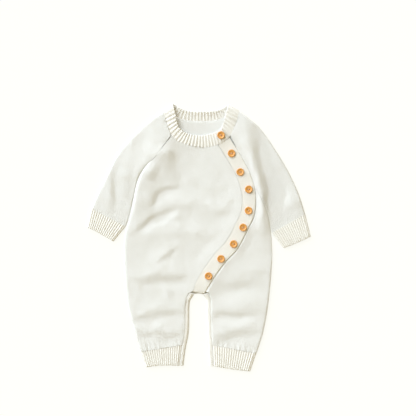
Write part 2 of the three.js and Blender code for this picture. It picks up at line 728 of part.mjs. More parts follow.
// The highest point under a button, so that it sits just clear of the cloth.
function seatOf({ x, y }, topOf) {
  const round = Array.from({ length: 12 }, (_, i) => (i * Math.PI) / 6);
  const under = round.flatMap((a) => [0.5, 1].map((r) => [Math.cos(a) * r, Math.sin(a) * r]));
  return Math.max(...under.map(([dx, dy]) => topOf(x + dx * BUTTON_RADIUS, y + dy * BUTTON_RADIUS)));
}

function backPanel() {
  const bevel = 0.9;
  const edge = (rows, count) => {
    const read = line(rows);
    return Array.from({ length: count + 1 }, (_, i) => read(i / count));
  };
  const legSeam = (rows) => {
    const side = Math.sign(rows[0].seamX);
    return rows.slice(0, 7).map((row) => ({ x: row.seamX + side * SEAM_GAP, y: row.seamY + SEAM_GAP }));
  };
  const outline = [
    ...edge(BACK_NECK, 8),
    ...edge(BACK_LEFT, 22),
    ...edge(legSeam(STRIP_LEFT).reverse(), 16),
    ...edge(BACK_CROTCH, 6),
    ...edge(legSeam(STRIP_RIGHT), 16),
    ...edge(BACK_RIGHT, 22),
  ];
  const corners = outline.filter((p, i) => p.distanceTo(outline[(i + 1) % outline.length]) > SEAM_GAP / 2);
  const shape = new THREE.Shape(corners.map(({ x, y }) => new THREE.Vector2(x, y)));
  return new THREE.ExtrudeGeometry(shape, {
    depth: CLOTH - 2 * bevel,
    bevelThickness: bevel,
    bevelSize: bevel,
    bevelOffset: -bevel - SEAM_GAP,
    bevelSegments: 1,
  }).translate(0, 0, bevel);
}

const materials = {
  cloth: new THREE.MeshStandardMaterial({ color: COLOURS.cloth, roughness: 0.95, metalness: 0 }),
  rib: new THREE.MeshStandardMaterial({ color: COLOURS.rib, roughness: 0.95, metalness: 0 }),
  wood: new THREE.MeshStandardMaterial({ color: COLOURS.wood, roughness: 0.5, metalness: 0 }),
};
const romper = new THREE.Group();
function add(name, geometry, material) {
  const mesh = new THREE.Mesh(geometry, materials[material]);
  mesh.name = name;
  romper.add(mesh);
  return mesh;
}

add("back", backPanel(), "cloth");
add("front_over", overFront(), "cloth");
add("front_under", underFront(), "cloth");
add("sleeve_right", sleeve(SLEEVE_RIGHT, SLEEVE_RIGHT_NECK, lay), "cloth");
add("sleeve_left", sleeve(SLEEVE_LEFT, SLEEVE_LEFT_NECK, underTop), "cloth");
for (const row of CUFFS) add(row.name, cuff(row), "rib");
add("leg_strip_right", legStrip(STRIP_RIGHT), "rib");
add("leg_strip_left", legStrip(STRIP_LEFT), "rib");
add("collar", collar(), "rib");
add("button_band", buttonBand(), "rib");

// The first button sits on the collar's lapped end and leans with it, and the others lie on the band.
const collarTop = 10.5;
BUTTONS.forEach((place, i) => {
  const mesh = add("button_" + (i + 1), button(), "wood");
  const seat = i === 0 ? collarTop : seatOf(place, overTop);
  mesh.position.set(place.x, place.y, seat + LAYER_GAP);
  mesh.rotation.z = THREE.MathUtils.degToRad(place.turn);
});

export default romper;
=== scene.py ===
# A baby romper in fine knit, laid flat on its back with the buttoned front up.
# Sizes are in millimetres until a mesh is made: X runs to the wearer's left, Y to the neck and Z up.
import math

import bpy
import numpy as np
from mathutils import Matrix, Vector
from mathutils.geometry import delaunay_2d_cdt


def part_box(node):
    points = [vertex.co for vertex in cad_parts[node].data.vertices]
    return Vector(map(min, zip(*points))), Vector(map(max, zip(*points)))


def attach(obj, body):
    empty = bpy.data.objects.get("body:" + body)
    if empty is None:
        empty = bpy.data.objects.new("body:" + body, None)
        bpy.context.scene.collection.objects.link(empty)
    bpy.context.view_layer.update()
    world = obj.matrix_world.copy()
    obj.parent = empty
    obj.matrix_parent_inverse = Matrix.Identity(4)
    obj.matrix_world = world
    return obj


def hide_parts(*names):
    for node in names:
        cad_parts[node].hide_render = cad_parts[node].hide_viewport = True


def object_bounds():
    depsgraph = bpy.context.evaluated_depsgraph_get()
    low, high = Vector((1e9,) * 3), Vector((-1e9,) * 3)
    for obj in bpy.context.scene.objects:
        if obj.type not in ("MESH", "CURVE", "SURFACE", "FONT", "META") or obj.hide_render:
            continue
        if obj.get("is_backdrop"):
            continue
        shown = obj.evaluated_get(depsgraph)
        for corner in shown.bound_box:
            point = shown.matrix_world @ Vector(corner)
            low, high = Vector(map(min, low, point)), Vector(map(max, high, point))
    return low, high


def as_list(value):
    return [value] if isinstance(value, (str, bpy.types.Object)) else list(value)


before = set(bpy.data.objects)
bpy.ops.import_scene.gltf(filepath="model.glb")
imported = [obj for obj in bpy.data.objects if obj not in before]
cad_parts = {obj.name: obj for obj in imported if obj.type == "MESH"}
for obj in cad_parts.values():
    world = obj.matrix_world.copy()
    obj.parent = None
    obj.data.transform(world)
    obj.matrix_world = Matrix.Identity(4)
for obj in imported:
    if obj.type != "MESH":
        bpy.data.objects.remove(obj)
cad_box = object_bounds()

MM = 0.001

# Walls, how high the layers lie, and how far their edges and ribs fall or stand
CLOTH = 2.4
SEAM_GAP = 0.4
LAYER_GAP = 0.3
LAY = 7.2
LAY_LEAST = CLOTH * 2 + LAYER_GAP * 2
UNDER_TOP = 5.1
EDGE_TOP = 4.1
EDGE_ROLL = 11
SHORT_ROLL = 4
SIDE_ROLL = 6
SIDE_TOP = 5.2
INNER_ROLL = 6
INNER_TOP = 6.5
NOSE = 2.6
BAND_WALL = 2.6
BAND_WIDTH = 27
BAND_SIDE = 8.6
BAND_SINK = 6.5
BAND_END = 9
BAND_LIFT = 30
BAND_CREST = 0.5
BAND_FOLLOW = 0.22
BAND_OUTER_DROP = 0.6
BAND_OUTER_ROLL = 5
BAND_INNER_DROP = 0.2
BAND_INNER_ROLL = 3
BAND_END_DROP = 1.3
CUFF_HEIGHT = 6.6
CUFF_RIB = 0.42
CUFF_LOW_RIB = 0.28
CUFF_INNER_RIB = 0.15
CUFF_ROUND = 6
CUFF_LOW_ROUND = 5
CUFF_BUNCH = 0.3
RIB_FADE = 3
CUFF_RIBS = 15
LEG_CUFF_RIBS = 17
COLLAR_RIB = 0.5
COLLAR_RIB_PITCH = 6.5
COLLAR_CROWN = 0.5
COLLAR_WIDTH = 22
ABOVE_FLOOR = 0.02
STRIP_TOP = 6.3
STRIP_AROUND = 18
STRIP_RIDGE = 0.12
STRIP_RIDGE_PITCH = 2.6
STRIP_RAISE = 0.3
STRIP_RAISED_SHARE = 0.2
BUTTON_RADIUS = 7.7
BUTTON_HOLE = 1.1
BUTTON_HOLE_SPACING = 3.6

# How finely the cloth is meshed, and how its edges round off
STEP = 2.5
UNDER_STEP = 6
TAPER = 0.12
RIM = [0, 0.12, 0.4, 0.9]
SEWN = 0.16
FREE = 1.1
SEW_IN = 0.3
LEAST_WALL = 0.1
BACK_SPACING = 5
LEAST_APART = 0.5
LEG_ROWS = 7
CUFF_STEP = 2
RIB_COLUMNS = 12
STRIP_COLUMNS = 28
BAND_STEP = 2.2
BAND_COLUMN = 0.07
BAND_MESHED = 26
FOLD_RIM = [0, 0.1, 0.4, 1, 1.8, 3, 4.6, 6.6, 8.8, EDGE_ROLL]
COLLAR_SINK = 0.02
COLLAR_ROWS = [-COLLAR_SINK, -0.01, 0.01, 0.04, *np.linspace(0.1, 0.9, 9), 0.95, 0.98, 0.993, 1]

# Unevenness of the laid cloth: how high, how wide its patches are, and its seed
UNEVENNESS = [(0.35, 26, 3), (0.22, 13, 1), (0.07, 6, 2)]
ASTRAY = 3.2
ASTRAY_CELL = 24
LAY_SOFT = 0.5

# The cloth beside the band: how wide its slope is by the neck and lower down, and how far it dives under
SLOPE_NECK = 16
SLOPE_LOWER = 20
SLOPE_FROM = 0.3
SLOPE_OVER = 0.15
DIVE = 3

# The gathers of a leg above its cuff, and how far the cloth may dip at a rolled edge
PUCKER = 0.5
PUCKER_PITCH = 10.5
PUCKER_FADE = 12
EDGE_DIP = 1.6

# The back's underside: the share of the creases that lifts it off the floor, and how far at most
BACK_FOLLOW = 0.25
BACK_FADE = 20
BACK_LIFT = 0.5

# The camera: how far above the cloth it is, what it looks at, and how wide it sees there
CAMERA_HEIGHT = 4000
VIEW_CENTRE = (18.2, 59.5)
VIEW_WIDTH = 832
SENSOR = 36


def table(columns, rows):
    """A table whose columns have names, as a list of rows."""
    names = columns.split(" ")
    return [dict(zip(names, row)) for row in rows]


# Creases of the cloth: each runs from one point to another with a bow to its left, and rises or sinks
# over a width to its left and another to its right, so that one side can be steep.
FOLDS = table("x0 y0 x1 y1 bow left right rise", [
    [-126, 20, -106, 142, 3, 18, 30, 4.2],
    [-114, 122, -56, 210, 0, 36, 28, 5],
    [-62, 96, -58, 190, 0, 16, 17, 2],
    [-43, 104, -46, 198, 0, 17, 50, -2],
    [-94, 64, -46, 100, 6, 7, 13, -2.6],
    [-125, 10, -56, 51, 3, 7, 10, -3.2],
    [-66, 66, 0, 68, 0, 18, 11, 1.9],
    [0, 60, 74, 50, 2, 20, 13, 2],
    [48, 66, 74, 80, 3, 12, 8, 1],
    [-108, 6, 68, 12, 0, 20, 17, 1.9],
    [-62, 44, -36, 44, 0, 8, 8, 1],
    [-90, -48, -42, -14, 2, 14, 8, 2],
    [-126, -76, -22, -72, 3, 24, 12, 2.4],
    [-112, -92, -30, -92, 2, 7, 9, -1.2],
    [-130, -82, -118, -106, 0, 9, 9, 1.4],
    [-68, -102, -62, -118, 0, 8, 6, 0.9],
    [50, -70, 132, -64, 0, 22, 26, 1.5],
    [34, -112, 108, -102, 0, 15, 12, -2.2],
    [-126, -152, -34, -142, 2, 20, 11, 1.9],
    [-120, -166, -36, -156, 3, 9, 13, -1],
    [-118, -186, -36, -184, 0, 16, 10, 1.6],
    [-112, -203, -92, -201, 0, 7, 10, -1.2],
    [-72, -201, -50, -205, 0, 6, 10, -1.2],
    [30, -142, 128, -140, 0, 15, 16, 1.7],
    [28, -159, 114, -158, 0, 7, 15, -2],
    [34, -190, 118, -174, 2, 16, 14, 1.6],
    [30, -217, 114, -190, 5, 9, 13, -1.5],
    [137, 4, 111, 132, 1, 24, 20, 6],
    [117, 84, 95, 226, 2, 20, 20, 5],
    [151, 60, 122, 216, -3, 20, 14, -5],
    [157, -24, 152, 122, -1, 22, 22, -5],
    [112, 120, 113, 150, 0, 5, 5, -0.9],
    [166, 66, 204, 74, 0, 13, 12, 1.8],
    [177, 20, 172, 60, 0, 12, 9, 1],
    [-140, 158, -133, 208, 0, 9, 8, 1.1],
    [-152, 86, -146, 142, 0, 12, 12, 2.2],
    [-134, 84, -130, 128, 0, 8, 5, -1.8],
    [-181, 60, -176, 140, 0, 10, 8, 1.3],
    [-167, 50, -163, 140, 0, 6, 12, -1.3],
])

# The button band from the neck to the crotch, by its outer and inner edges.
BAND = table("outerX outerY innerX innerY top", [
    [61.8, 199.5, 38.6, 185.6, 8.4],
    [79, 173, 55.5, 159.5, 8.5],
    [97.2, 140.5, 72.5, 129.5, 8.6],
    [108.4, 110.5, 82.6, 102.6, 8.8],
    [113.8, 80, 86.8, 79.5, 9.1],
    [110, 43.3, 83.8, 50, 9.4],
    [97, 15, 73.3, 28, 9.5],
    [76.6, -23.3, 54.6, -7.7, 9.5],
    [55.6, -45.7, 35.2, -28.1, 9.4],
    [37, -70.5, 14.6, -55.5, 9.2],
    [22, -94, -2, -81, 8.9],
    [11, -112, -12.5, -108, 8.5],
])

# The front that laps over: the far edge for each row of the band, and how much that edge rolls down.
OVER_BODY = table("x y roll", [
    [-54.5, 204.3, 0],
    [-70, 184.5, 0],
    [-87, 161, 0],
    [-106, 143, 0.2],
    [-122, 114.5, 0.8],
    [-130.5, 80, 1],
    [-139.2, 41, 1],
    [-148.3, 5, 1],
    [-149.4, -25, 1],
    [-148.6, -56, 1],
    [-147, -86, 1],
    [-144.2, -112.5, 1],
])
OVER_LEG = table("leftX leftY rightX rightY", [
    [-143.4, -119, -18.9, -109.4],
    [-142, -130, -25.6, -123.4],
    [-140, -140, -27.6, -136.8],
    [-136.6, -154.6, -28.1, -154.6],
    [-130.8, -176, -28.2, -175.4],
    [-122.4, -206, -30.2, -197.4],
    [-116.8, -227.6, -33.4, -214],
])
OVER_NECK = [[-54.5, 204.3], [-43.5, 193.4], [-24, 185.9], [4, 180.8], [24, 182], [38.2, 185.3]]

# The front that lies under the band, from its hidden edge to the wearer's left side.
UNDER_FRONT = table("leftX leftY leftRoll rightX rightY rightRoll", [
    [47.5, 190.6, 0, 59.5, 197.2, 0],
    [58.5, 160, 0, 77.6, 172.4, 0],
    [75.5, 131, 0, 95.8, 139.9, 0],
    [85.5, 104, 0, 107.4, 110.2, 0],
    [90, 79.5, 0, 124.4, 79.5, 0.2],
    [86.5, 51, 0, 137.2, 50, 0.8],
    [76, 29, 0, 143, 20, 1],
    [57.5, -6, 0, 146, -16, 1],
    [38, -26.5, 0, 146.5, -42, 1],
    [17.5, -54, 0, 144.8, -70, 1],
    [8, -83, 0, 142.6, -96, 1],
    [9.4, -106, 0, 140.2, -118, 1],
    [19, -110.5, 0.5, 139, -130, 1],
    [23.7, -122.4, 1, 137.4, -141, 1],
    [24.1, -136.4, 1, 135.2, -155, 1],
    [24.5, -154.8, 1, 132.2, -171, 1],
    [25.3, -178.8, 1, 127.6, -192.5, 1],
    [26.3, -199.6, 1, 120.4, -215, 1],
    [27, -214, 1, 115.2, -231, 1],
])

# Each sleeve's rows from the neck to its cuff: the outer fold, the front edge and the back edge.
SLEEVE_RIGHT = table("foldX foldY frontX frontY backX backY roll", [
    [-72.6, 252.8, -56, 205, -45.6, 240.6, 0],
    [-102.4, 233, -70.8, 185, -61.6, 206.6, 0],
    [-122, 214, -87.8, 161.6, -82, 170, 0],
    [-142.4, 194.1, -107, 143.4, -107, 143.4, 0.3],
    [-162.4, 169.1, -123, 115, -123, 115, 0.8],
    [-178, 140, -131.4, 80.2, -131.4, 80.2, 0.4],
    [-195, 106, -137.6, 54, -137.6, 54, 0.25],
    [-209, 75, -143.6, 32, -143.6, 32, 0.25],
    [-216, 59.4, -146.6, 22.6, -146.6, 22.6, 0.5],
])
SLEEVE_LEFT = table("foldX foldY frontX frontY backX backY roll", [
    [79.8, 253.2, 63.2, 203.8, 51.6, 240.6, 0],
    [103.6, 236, 78.6, 173.2, 68.2, 205, 0],
    [120.6, 220.9, 96.8, 140.6, 88.2, 165, 0],
    [137.4, 199.1, 108.4, 111, 108.4, 111, 0],
    [156.2, 170.9, 125.4, 80, 125.4, 80, 0],
    [176.4, 137.5, 133, 63.6, 133, 63.6, 0],
    [191.4, 107.5, 138.2, 50.4, 138.2, 50.4, 0.05],
    [203.2, 79, 143.4, 24, 143.4, 24, 0.4],
    [213, 47, 146.4, 10.4, 146.4, 10.4, 1],
])

# The neck edges of the two sleeves, over the front and over the back.
SLEEVE_RIGHT_NECK = {
    "front": [[-72.6, 252.8], [-67, 238], [-62.4, 222], [-56, 205]],
    "back": [[-72.6, 252.8], [-66, 250.6], [-45.6, 240.6]],
}
SLEEVE_LEFT_NECK = {
    "front": [[79.8, 253.2], [77.4, 238], [71.4, 221.8], [63.2, 203.8]],
    "back": [[79.8, 253.2], [73.6, 251.4], [51.6, 240.6]],
}

# The back: along the neck, down the wearer's left side, past the crotch and up the wearer's right side.
BACK_NECK = [[-45, 240.4], [-22, 235], [4, 233.6], [30, 235], [51, 240.4]]
BACK_LEFT = [
    [51, 240.4], [67.6, 204.8], [87.6, 164.8], [107.8, 110.6], [124.6, 79.6], [137.4, 50],
    [143.2, 20], [146.2, -16], [146.7, -42], [145, -70], [142.8, -96], [140.4, -120],
    [134.2, -163], [127.8, -192.5], [120.6, -215], [115.4, -231],
]
BACK_CROTCH = [[8.8, -114], [0, -112], [-9.2, -113.2]]
BACK_RIGHT = [
    [-116.8, -227.6], [-122.4, -206], [-130.8, -176], [-137.6, -151], [-144.4, -112.5],
    [-147.2, -86], [-149.6, -25], [-148.5, 5], [-139.4, 41], [-130.7, 80],
    [-122.2, 114.5], [-106.4, 142.8], [-81.4, 169.8], [-61, 206.4], [-45, 240.4],
]

# The bindings of the inner legs, from the crotch to the hem: the outer edge, and the seam to the leg.
STRIP_RIGHT = table("edgeX edgeY seamX seamY", [
    [-9.8, -114.2, -17.6, -110.4],
    [-17.4, -126, -25, -123.4],
    [-19, -138, -27, -136.8],
    [-19.3, -155, -27.5, -154.6],
    [-19.4, -176, -27.6, -175.4],
    [-21.6, -199, -29.6, -197.4],
    [-24.8, -213.4, -32.6, -212],
    [-27.4, -228.5, -34.8, -227.6],
    [-29.2, -242, -36.3, -241.6],
    [-30.8, -255.8, -38, -256],
])
STRIP_LEFT = table("edgeX edgeY seamX seamY", [
    [9.4, -115, 17.2, -111.4],
    [15, -124, 23, -122.4],
    [15.3, -137, 23.4, -136.4],
    [15.6, -155, 23.8, -154.8],
    [16.4, -179, 24.6, -178.8],
    [17.4, -200, 25.6, -199.6],
    [18.4, -213, 26.4, -212.8],
    [18.9, -229, 26.8, -229],
    [19.8, -243, 27.8, -243.2],
    [20.8, -256, 28.6, -257.2],
])

# The four cuffs: their corners at the seam and at the hem, and how far the hem bows out.
CUFF_CORNERS = "seamLeftX seamLeftY seamRightX seamRightY hemLeftX hemLeftY hemRightX hemRightY"
CUFFS = table(f"name {CUFF_CORNERS} bow", [
    ["sleeve_cuff_right", -216, 58.8, -146.9, 22, -224, 21, -171, -7.6, -1],
    ["sleeve_cuff_left", 146.8, 9.8, 213, 46.4, 169.4, -20.8, 224, 2.6, 1],
    ["leg_cuff_right", -116.4, -228.4, -34, -215, -105.8, -259, -38.7, -256.2, -2],
    ["leg_cuff_left", 27.1, -215.2, 114.8, -231.8, 29.3, -257, 102.6, -267.4, 1],
])

# The collar strip, from its hidden end at the button round the back to its lapped end.
COLLAR = table("seamX seamY seamZ freeX freeY freeZ rib", [
    [45, 190.8, 4.4, 34, 210, 4.4, 0.5],
    [56, 197.4, 4.4, 42, 217, 4.6, 0.5],
    [63, 205, 4.5, 46.5, 225, 5, 0.8],
    [70.6, 222, 6, 50.5, 236, 6.4, 1],
    [76.6, 238, 6.2, 54, 251, 6.6, 1],
    [79, 249.6, 5.6, 57.2, 261.4, 6, 0],
    [79.2, 253.6, 3.6, 58.6, 265.4, 4.2, 0],
    [74, 252.3, 1.3, 54.5, 263.4, 2.2, 0],
    [51, 241.6, 1.3, 42, 256.2, 2.6, 0.8],
    [30, 236, 1.3, 28, 253, 2.8, 1],
    [4, 234.5, 1.3, 4, 252, 2.9, 1],
    [-22, 236, 1.3, -20, 253.2, 2.8, 1],
    [-45, 241.6, 1.3, -36, 258.2, 2.6, 0.8],
    [-66, 251.6, 1.3, -47.6, 265, 2.2, 0],
    [-72, 253.4, 3.6, -51.8, 267.6, 5, 0],
    [-71, 249.2, 5.6, -50.4, 262.6, 8.4, 0],
    [-66.2, 238, 6.2, -46.6, 247, 9.4, 1],
    [-61.6, 222, 6.2, -43.6, 233, 8.8, 1],
    [-55.2, 206, 6.2, -40, 221.6, 8, 1],
    [-43.5, 194.4, 6.2, -29.6, 212.2, 7.2, 1],
    [-24, 186.9, 6.2, -17, 207.2, 6.7, 1],
    [4, 181.8, 6.2, 4, 204.8, 6.6, 1],
    [24, 183, 6.6, 20, 207.4, 7, 1],
    [42, 188.4, 7.7, 34.4, 212.6, 7.9, 0.8],
    [59.4, 199.4, 8, 46, 218.4, 8.4, 0.5],
])

# How far each button's holes are turned, in degrees, counted from the neck.
BUTTON_TURNS = [-38, 20, -12, 0, -45, 30, -20, 12, -30]

# A button's upper side: the distance from its middle, and the share of its height.
BUTTON_PROFILE = np.array([
    [0, 0.6], [3.4, 0.62], [4.8, 0.7], [5.6, 0.93],
    [6.3, 1], [6.9, 0.97], [7.35, 0.82], [BUTTON_RADIUS, 0.5],
])
BUTTON_RINGS = [0.15, 0.4, 0.8, 1.3, 1.8, 2.4, 3.1]
BUTTON_DISH = 4.6
BUTTON_FOOT = 6.6
BUTTON_UNDERCUT = 0.45
BUTTON_SPACING = 0.75
HOLE_DROP = 0.22
HOLE_ROLL = 0.35
THREAD_RADIUS = 0.36
THREAD_APART = 0.55
THREAD_PAST = 0.1
THREAD_ARCH = 0.55
THREAD_DIVE = 1.3

# How deep the small stitches lie in the cloth, and the right raglan seam over the front.
STITCH_SINK = 0.1
RAGLAN_RIGHT = [[-57.5, 196], [-71.5, 178.5], [-88.5, 155.5], [-104, 138]]


def column(rows, *names):
    """The named columns of a table, as an array of its rows."""
    return np.array([[row[name] for name in names] for row in rows], float)


def smooth(t):
    t = np.clip(t, 0, 1)
    return t * t * (3 - 2 * t)


def quarter_round(t):
    return np.sqrt(1 - (1 - np.clip(t, 0, 1)) ** 2)


def fall(gap, radius):
    """How far a rounded edge has fallen: 1 at the edge itself, and 0 from its radius inward."""
    return 1 - quarter_round(gap / radius)


def unit(ways):
    """The same directions, each of length 1."""
    return ways / np.maximum(np.linalg.norm(ways, axis=-1, keepdims=True), 1e-9)


def to_left(ways):
    """The same directions, turned a quarter to the left."""
    return np.stack([-ways[:, 1], ways[:, 0]], 1)


def apart(a, b):
    """How far the points of two rows lie apart."""
    return np.linalg.norm(a - b, axis=-1)


def pairs(x, y):
    """Two grids of numbers as one grid of pairs."""
    return np.stack(np.broadcast_arrays(x, y), -1)


def mix(a, b, t):
    return a + (b - a) * t


def line(points):
    """A smooth line through points, read from 0 to 1 with the points evenly spread."""
    p = np.array(points, float)
    knots = np.vstack([2 * p[0] - p[1], p, 2 * p[-1] - p[-2]])

    def read(t):
        place = np.clip(np.asarray(t, float), 0, 1) * (len(p) - 1)
        i = np.minimum(np.floor(place).astype(int), len(p) - 2)
        w = (place - i)[..., None]
        a, b, c, d = (knots[i + k] for k in range(4))
        ab, bc, cd = (
            np.maximum(np.sum((q - r) ** 2, -1) ** 0.25, 1e-4)[..., None]
            for q, r in ((b, a), (c, b), (d, c))
        )
        leave = ((b - a) / ab - (c - a) / (ab + bc) + (c - b) / bc) * bc
        reach = ((c - b) / bc - (d - b) / (bc + cd) + (d - c) / cd) * bc
        cubic = 2 * b - 2 * c + leave + reach
        square = -3 * b + 3 * c - 2 * leave - reach
        return b + leave * w + square * w**2 + cubic * w**3

    return read


def chain(first, second, share):
    """Two lines in a row, read from 0 to 1, with the first one's share of the way."""

    def read(t):
        t = np.asarray(t, float)
        early = (t <= share)[..., None]
        return np.where(early, first(t / share), second((t - share) / (1 - share)))

    return read


def edge_of(rows, name):
    """The smooth line of an edge whose X and Y are columns of a table."""
    return line(column(rows, name + "X", name + "Y"))


def ramp(values):
    """A column of numbers, read from 0 to 1."""
    return lambda t: np.interp(np.asarray(t) * (len(values) - 1), np.arange(len(values)), values)


def noise(x, y, cell, seed):
    """Smooth unevenness from -1 to 1, the same on each run, with patches about a cell wide."""
    size = 64
    values = np.random.default_rng(seed).uniform(-1, 1, (size, size))
    i, j = np.floor(x / cell).astype(int), np.floor(y / cell).astype(int)
    u, v = smooth(x / cell - i), smooth(y / cell - j)
    at = lambda a, b: values[(i + a) % size, (j + b) % size]
    return mix(mix(at(0, 0), at(1, 0), u), mix(at(0, 1), at(1, 1), u), v)


def crease_at(fold, x, y):
    """The part of a crease that a point takes, from its distance to the crease's bowed line."""
    dx, dy = fold["x1"] - fold["x0"], fold["y1"] - fold["y0"]
    length = math.hypot(dx, dy)
    along = ((x - fold["x0"]) * dx + (y - fold["y0"]) * dy) / length**2
    within = np.clip(along, 0, 1)
    aside = ((x - fold["x0"]) * -dy + (y - fold["y0"]) * dx) / length
    across = aside - 4 * fold["bow"] * within * (1 - within)
    beyond = (along - within) * length
    width = np.where(across > 0, fold["left"], fold["right"])
    ends = math.sin(math.pi * TAPER) + (1 - math.sin(math.pi * TAPER)) * np.sin(math.pi * within)
    short = min(fold["left"], fold["right"])
    return fold["rise"] * ends * np.exp(-(across / width) ** 2 - (beyond / short) ** 2)


def lay(x, y):
    """The height of the cloth's upper face where only two layers lie."""
    astray_x = x + ASTRAY * noise(x, y, ASTRAY_CELL, 5)
    astray_y = y + ASTRAY * noise(x, y, ASTRAY_CELL, 6)
    strength = 1 + 0.3 * noise(x, y, 19, 7)
    z = LAY + strength * sum(crease_at(fold, astray_x, astray_y) for fold in FOLDS)
    for height, cell, seed in UNEVENNESS:
        z = z + height * noise(x, y, cell, seed)
    return LAY_LEAST + LAY_SOFT * np.logaddexp(0, (z - LAY_LEAST) / LAY_SOFT)


def nearest(points, start, way):
    """Each point from the start of each stretch, its nearest place along the stretch, and the distance."""
    off = points[:, None] - start
    along = np.clip(np.sum(off * way, -1) / np.maximum(np.sum(way**2, -1), 1e-12), 0, 1)
    return off, along, np.linalg.norm(off - along[..., None] * way, axis=-1)


band_outer = edge_of(BAND, "outer")
band_inner = edge_of(BAND, "inner")
band_top = ramp(column(BAND, "top")[:, 0])
BAND_PATH = band_outer(np.linspace(0, 1, 160))


def by_band(x, y):
    """How far past the band's outer edge a point is, to the wearer's left, and its place down the band."""
    points = pairs(np.ravel(x), np.ravel(y))
    start, way = BAND_PATH[:-1], np.diff(BAND_PATH, axis=0)
    past, down = np.empty(len(points)), np.empty(len(points))
    for part in np.array_split(np.arange(len(points)), 1 + len(points) // 4000):
        off, along, away = nearest(points[part], start, way)
        k = away.argmin(1)
        own = np.arange(len(part))
        side = way[k, 0] * off[own, k, 1] - way[k, 1] * off[own, k, 0]
        past[part] = np.sign(side) * away[own, k]
        down[part] = (k + along[own, k]) / len(way)
    return past.reshape(np.shape(x)), down.reshape(np.shape(x))


def under_top(x, y):
    """The upper face of the cloth that dives under the band, with a narrow groove at the band's edge."""
    past, down = by_band(x, y)
    lower = smooth((down - SLOPE_FROM) / SLOPE_OVER)
    beyond = mix(BAND_SIDE, lay(x, y), smooth(past / mix(SLOPE_NECK, SLOPE_LOWER, lower)))
    beyond = mix(BAND_SINK, np.maximum(beyond, LAY_LEAST), smooth(past))
    return mix(UNDER_TOP, beyond, smooth((past + DIVE) / DIVE))


def over_top(x, y):
    """The upper face of the front that laps over, and of the band on it."""
    past, down = by_band(x, y)
    height = lay(x, y)
    lifted = band_top(down) + np.clip((height - LAY) * BAND_FOLLOW, -BAND_CREST, BAND_CREST)
    beside = np.where(down < 1, -past, np.abs(past))
    return mix(lifted, height, smooth((beside - BAND_WIDTH) / BAND_LIFT))


def patch(left, right, top=None):
    """A patch between two side lines whose first row follows a curved top line."""

    def read(u, v):
        point = mix(left(v), right(v), u[..., None])
        if top is not None:
            straight = mix(left(0.0), right(0.0), u[..., None])
            point = point + (top(u) - straight) * ((1 - v) ** 3)[..., None]
        return point

    return read


def spread(width, count, near, far):
    """Distances across a piece: the near ones from its start, the far ones from its end, even between."""
    middle = np.linspace(near[-1], width - far[-1], count + 2)[1:-1]
    return np.concatenate([near, middle, width - np.array(far[::-1], float)])


def count_between(width, step, near, far):
    """How many even distances a step gives between the near ones and the far ones."""
    return max(1, round((width - near[-1] - far[-1]) / step)) - 1


def distances(width, step, near, far):
    return spread(width, count_between(width, step, near, far), near, far)


def run_along(points):
    """How far each point of a path lies from its start, along the path."""
    return np.concatenate([[0], np.cumsum(np.linalg.norm(np.diff(points, axis=0), axis=1))])


def even_rows(read, step, near, far):
    """Places down a line, as its own reading from 0 to 1, that lie at even distances along it."""
    t = np.linspace(0, 1, 600)
    run = run_along(read(t))
    return np.interp(distances(run[-1], step, near, far), run, t), run[-1]


def rim_pinch(sewn=(), free=()):
    """How far each face draws in near its edges: round at a free edge, and little at a sewn one."""
    gaps = [(gap, SEWN) for gap in sewn] + [(gap, FREE) for gap in free]
    edges = [radius * fall(gap, radius) for gap, radius in gaps]
    return np.maximum.reduce(np.broadcast_arrays(*edges))


def add(name, data):
    """A new object of the scene."""
    thing = bpy.data.objects.new(name, data)
    bpy.context.scene.collection.objects.link(thing)
    return thing


def new_piece(name, vertices, faces, uvs, material):
    """One mesh, from points in millimetres, faces and each face corner's place in the knit."""
    mesh = bpy.data.meshes.new(name)
    mesh.from_pydata((np.asarray(vertices) * MM).tolist(), [], [list(map(int, f)) for f in faces])
    layer = mesh.uv_layers.new(name="knit")
    layer.data.foreach_set("uv", np.asarray(uvs, np.float32).ravel())
    mesh.shade_smooth()
    mesh.materials.append(material)
    piece = add(name, mesh)
    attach(piece, "root")
    return piece


def wall(name, outer, inner, uv, material, around=False):
    """A closed wall from two grids of points: its upper or outer face, and its lower or inner one."""
    rows, columns = outer.shape[:2]
    ids = np.arange(2 * rows * columns).reshape(2, rows, columns)
    if around:
        ids = np.concatenate([ids, ids[:, :, :1]], 2)
    out, inn = ids
    strips = [
        (out, uv),
        (inn[:, ::-1], uv[:, ::-1]),
        (np.stack([inn[0], out[0]]), uv[[0, 0]]),
        (np.stack([out[-1], inn[-1]]), uv[[-1, -1]]),
    ]
    if not around:
        strips.append((np.stack([inn[:, 0], out[:, 0]], 1), uv[:, [0, 0]]))
        strips.append((np.stack([out[:, -1], inn[:, -1]], 1), uv[:, [-1, -1]]))
    corner = lambda grid: np.stack([grid[:-1, :-1], grid[1:, :-1], grid[1:, 1:], grid[:-1, 1:]], 2)
    faces = np.concatenate([corner(grid).reshape(-1, 4) for grid, _ in strips])
    places = np.concatenate([corner(own).reshape(-1, 4, 2) for _, own in strips])
    points = np.concatenate([outer.reshape(-1, 3), inner.reshape(-1, 3)])
    a, b, c, d = (points[faces[:, k]] for k in range(4))
    sixfold = np.sum(a * np.cross(b, c)) + np.sum(a * np.cross(c, d))
    if sixfold < 0:
        faces, places = faces[:, ::-1], places[:, ::-1]
    return new_piece(name, points, faces, places, material)


def lift(flat, z):
    return np.concatenate([flat, z[..., None]], -1)


def hem_puckers(across, from_hem, seed):
    """Uneven gathers of a leg, up from the seam to its cuff."""
    uneven = lambda cell, own: noise(across, across * 0, cell, own)
    place = across / PUCKER_PITCH + 0.35 * uneven(14, seed)
    strength = 0.75 + 0.5 * uneven(9, seed + 1)
    length = 12 + 6 * uneven(12, seed + 2)
    return PUCKER * strength * np.cos(2 * math.pi * place) * np.exp(-((from_hem / length) ** 2))


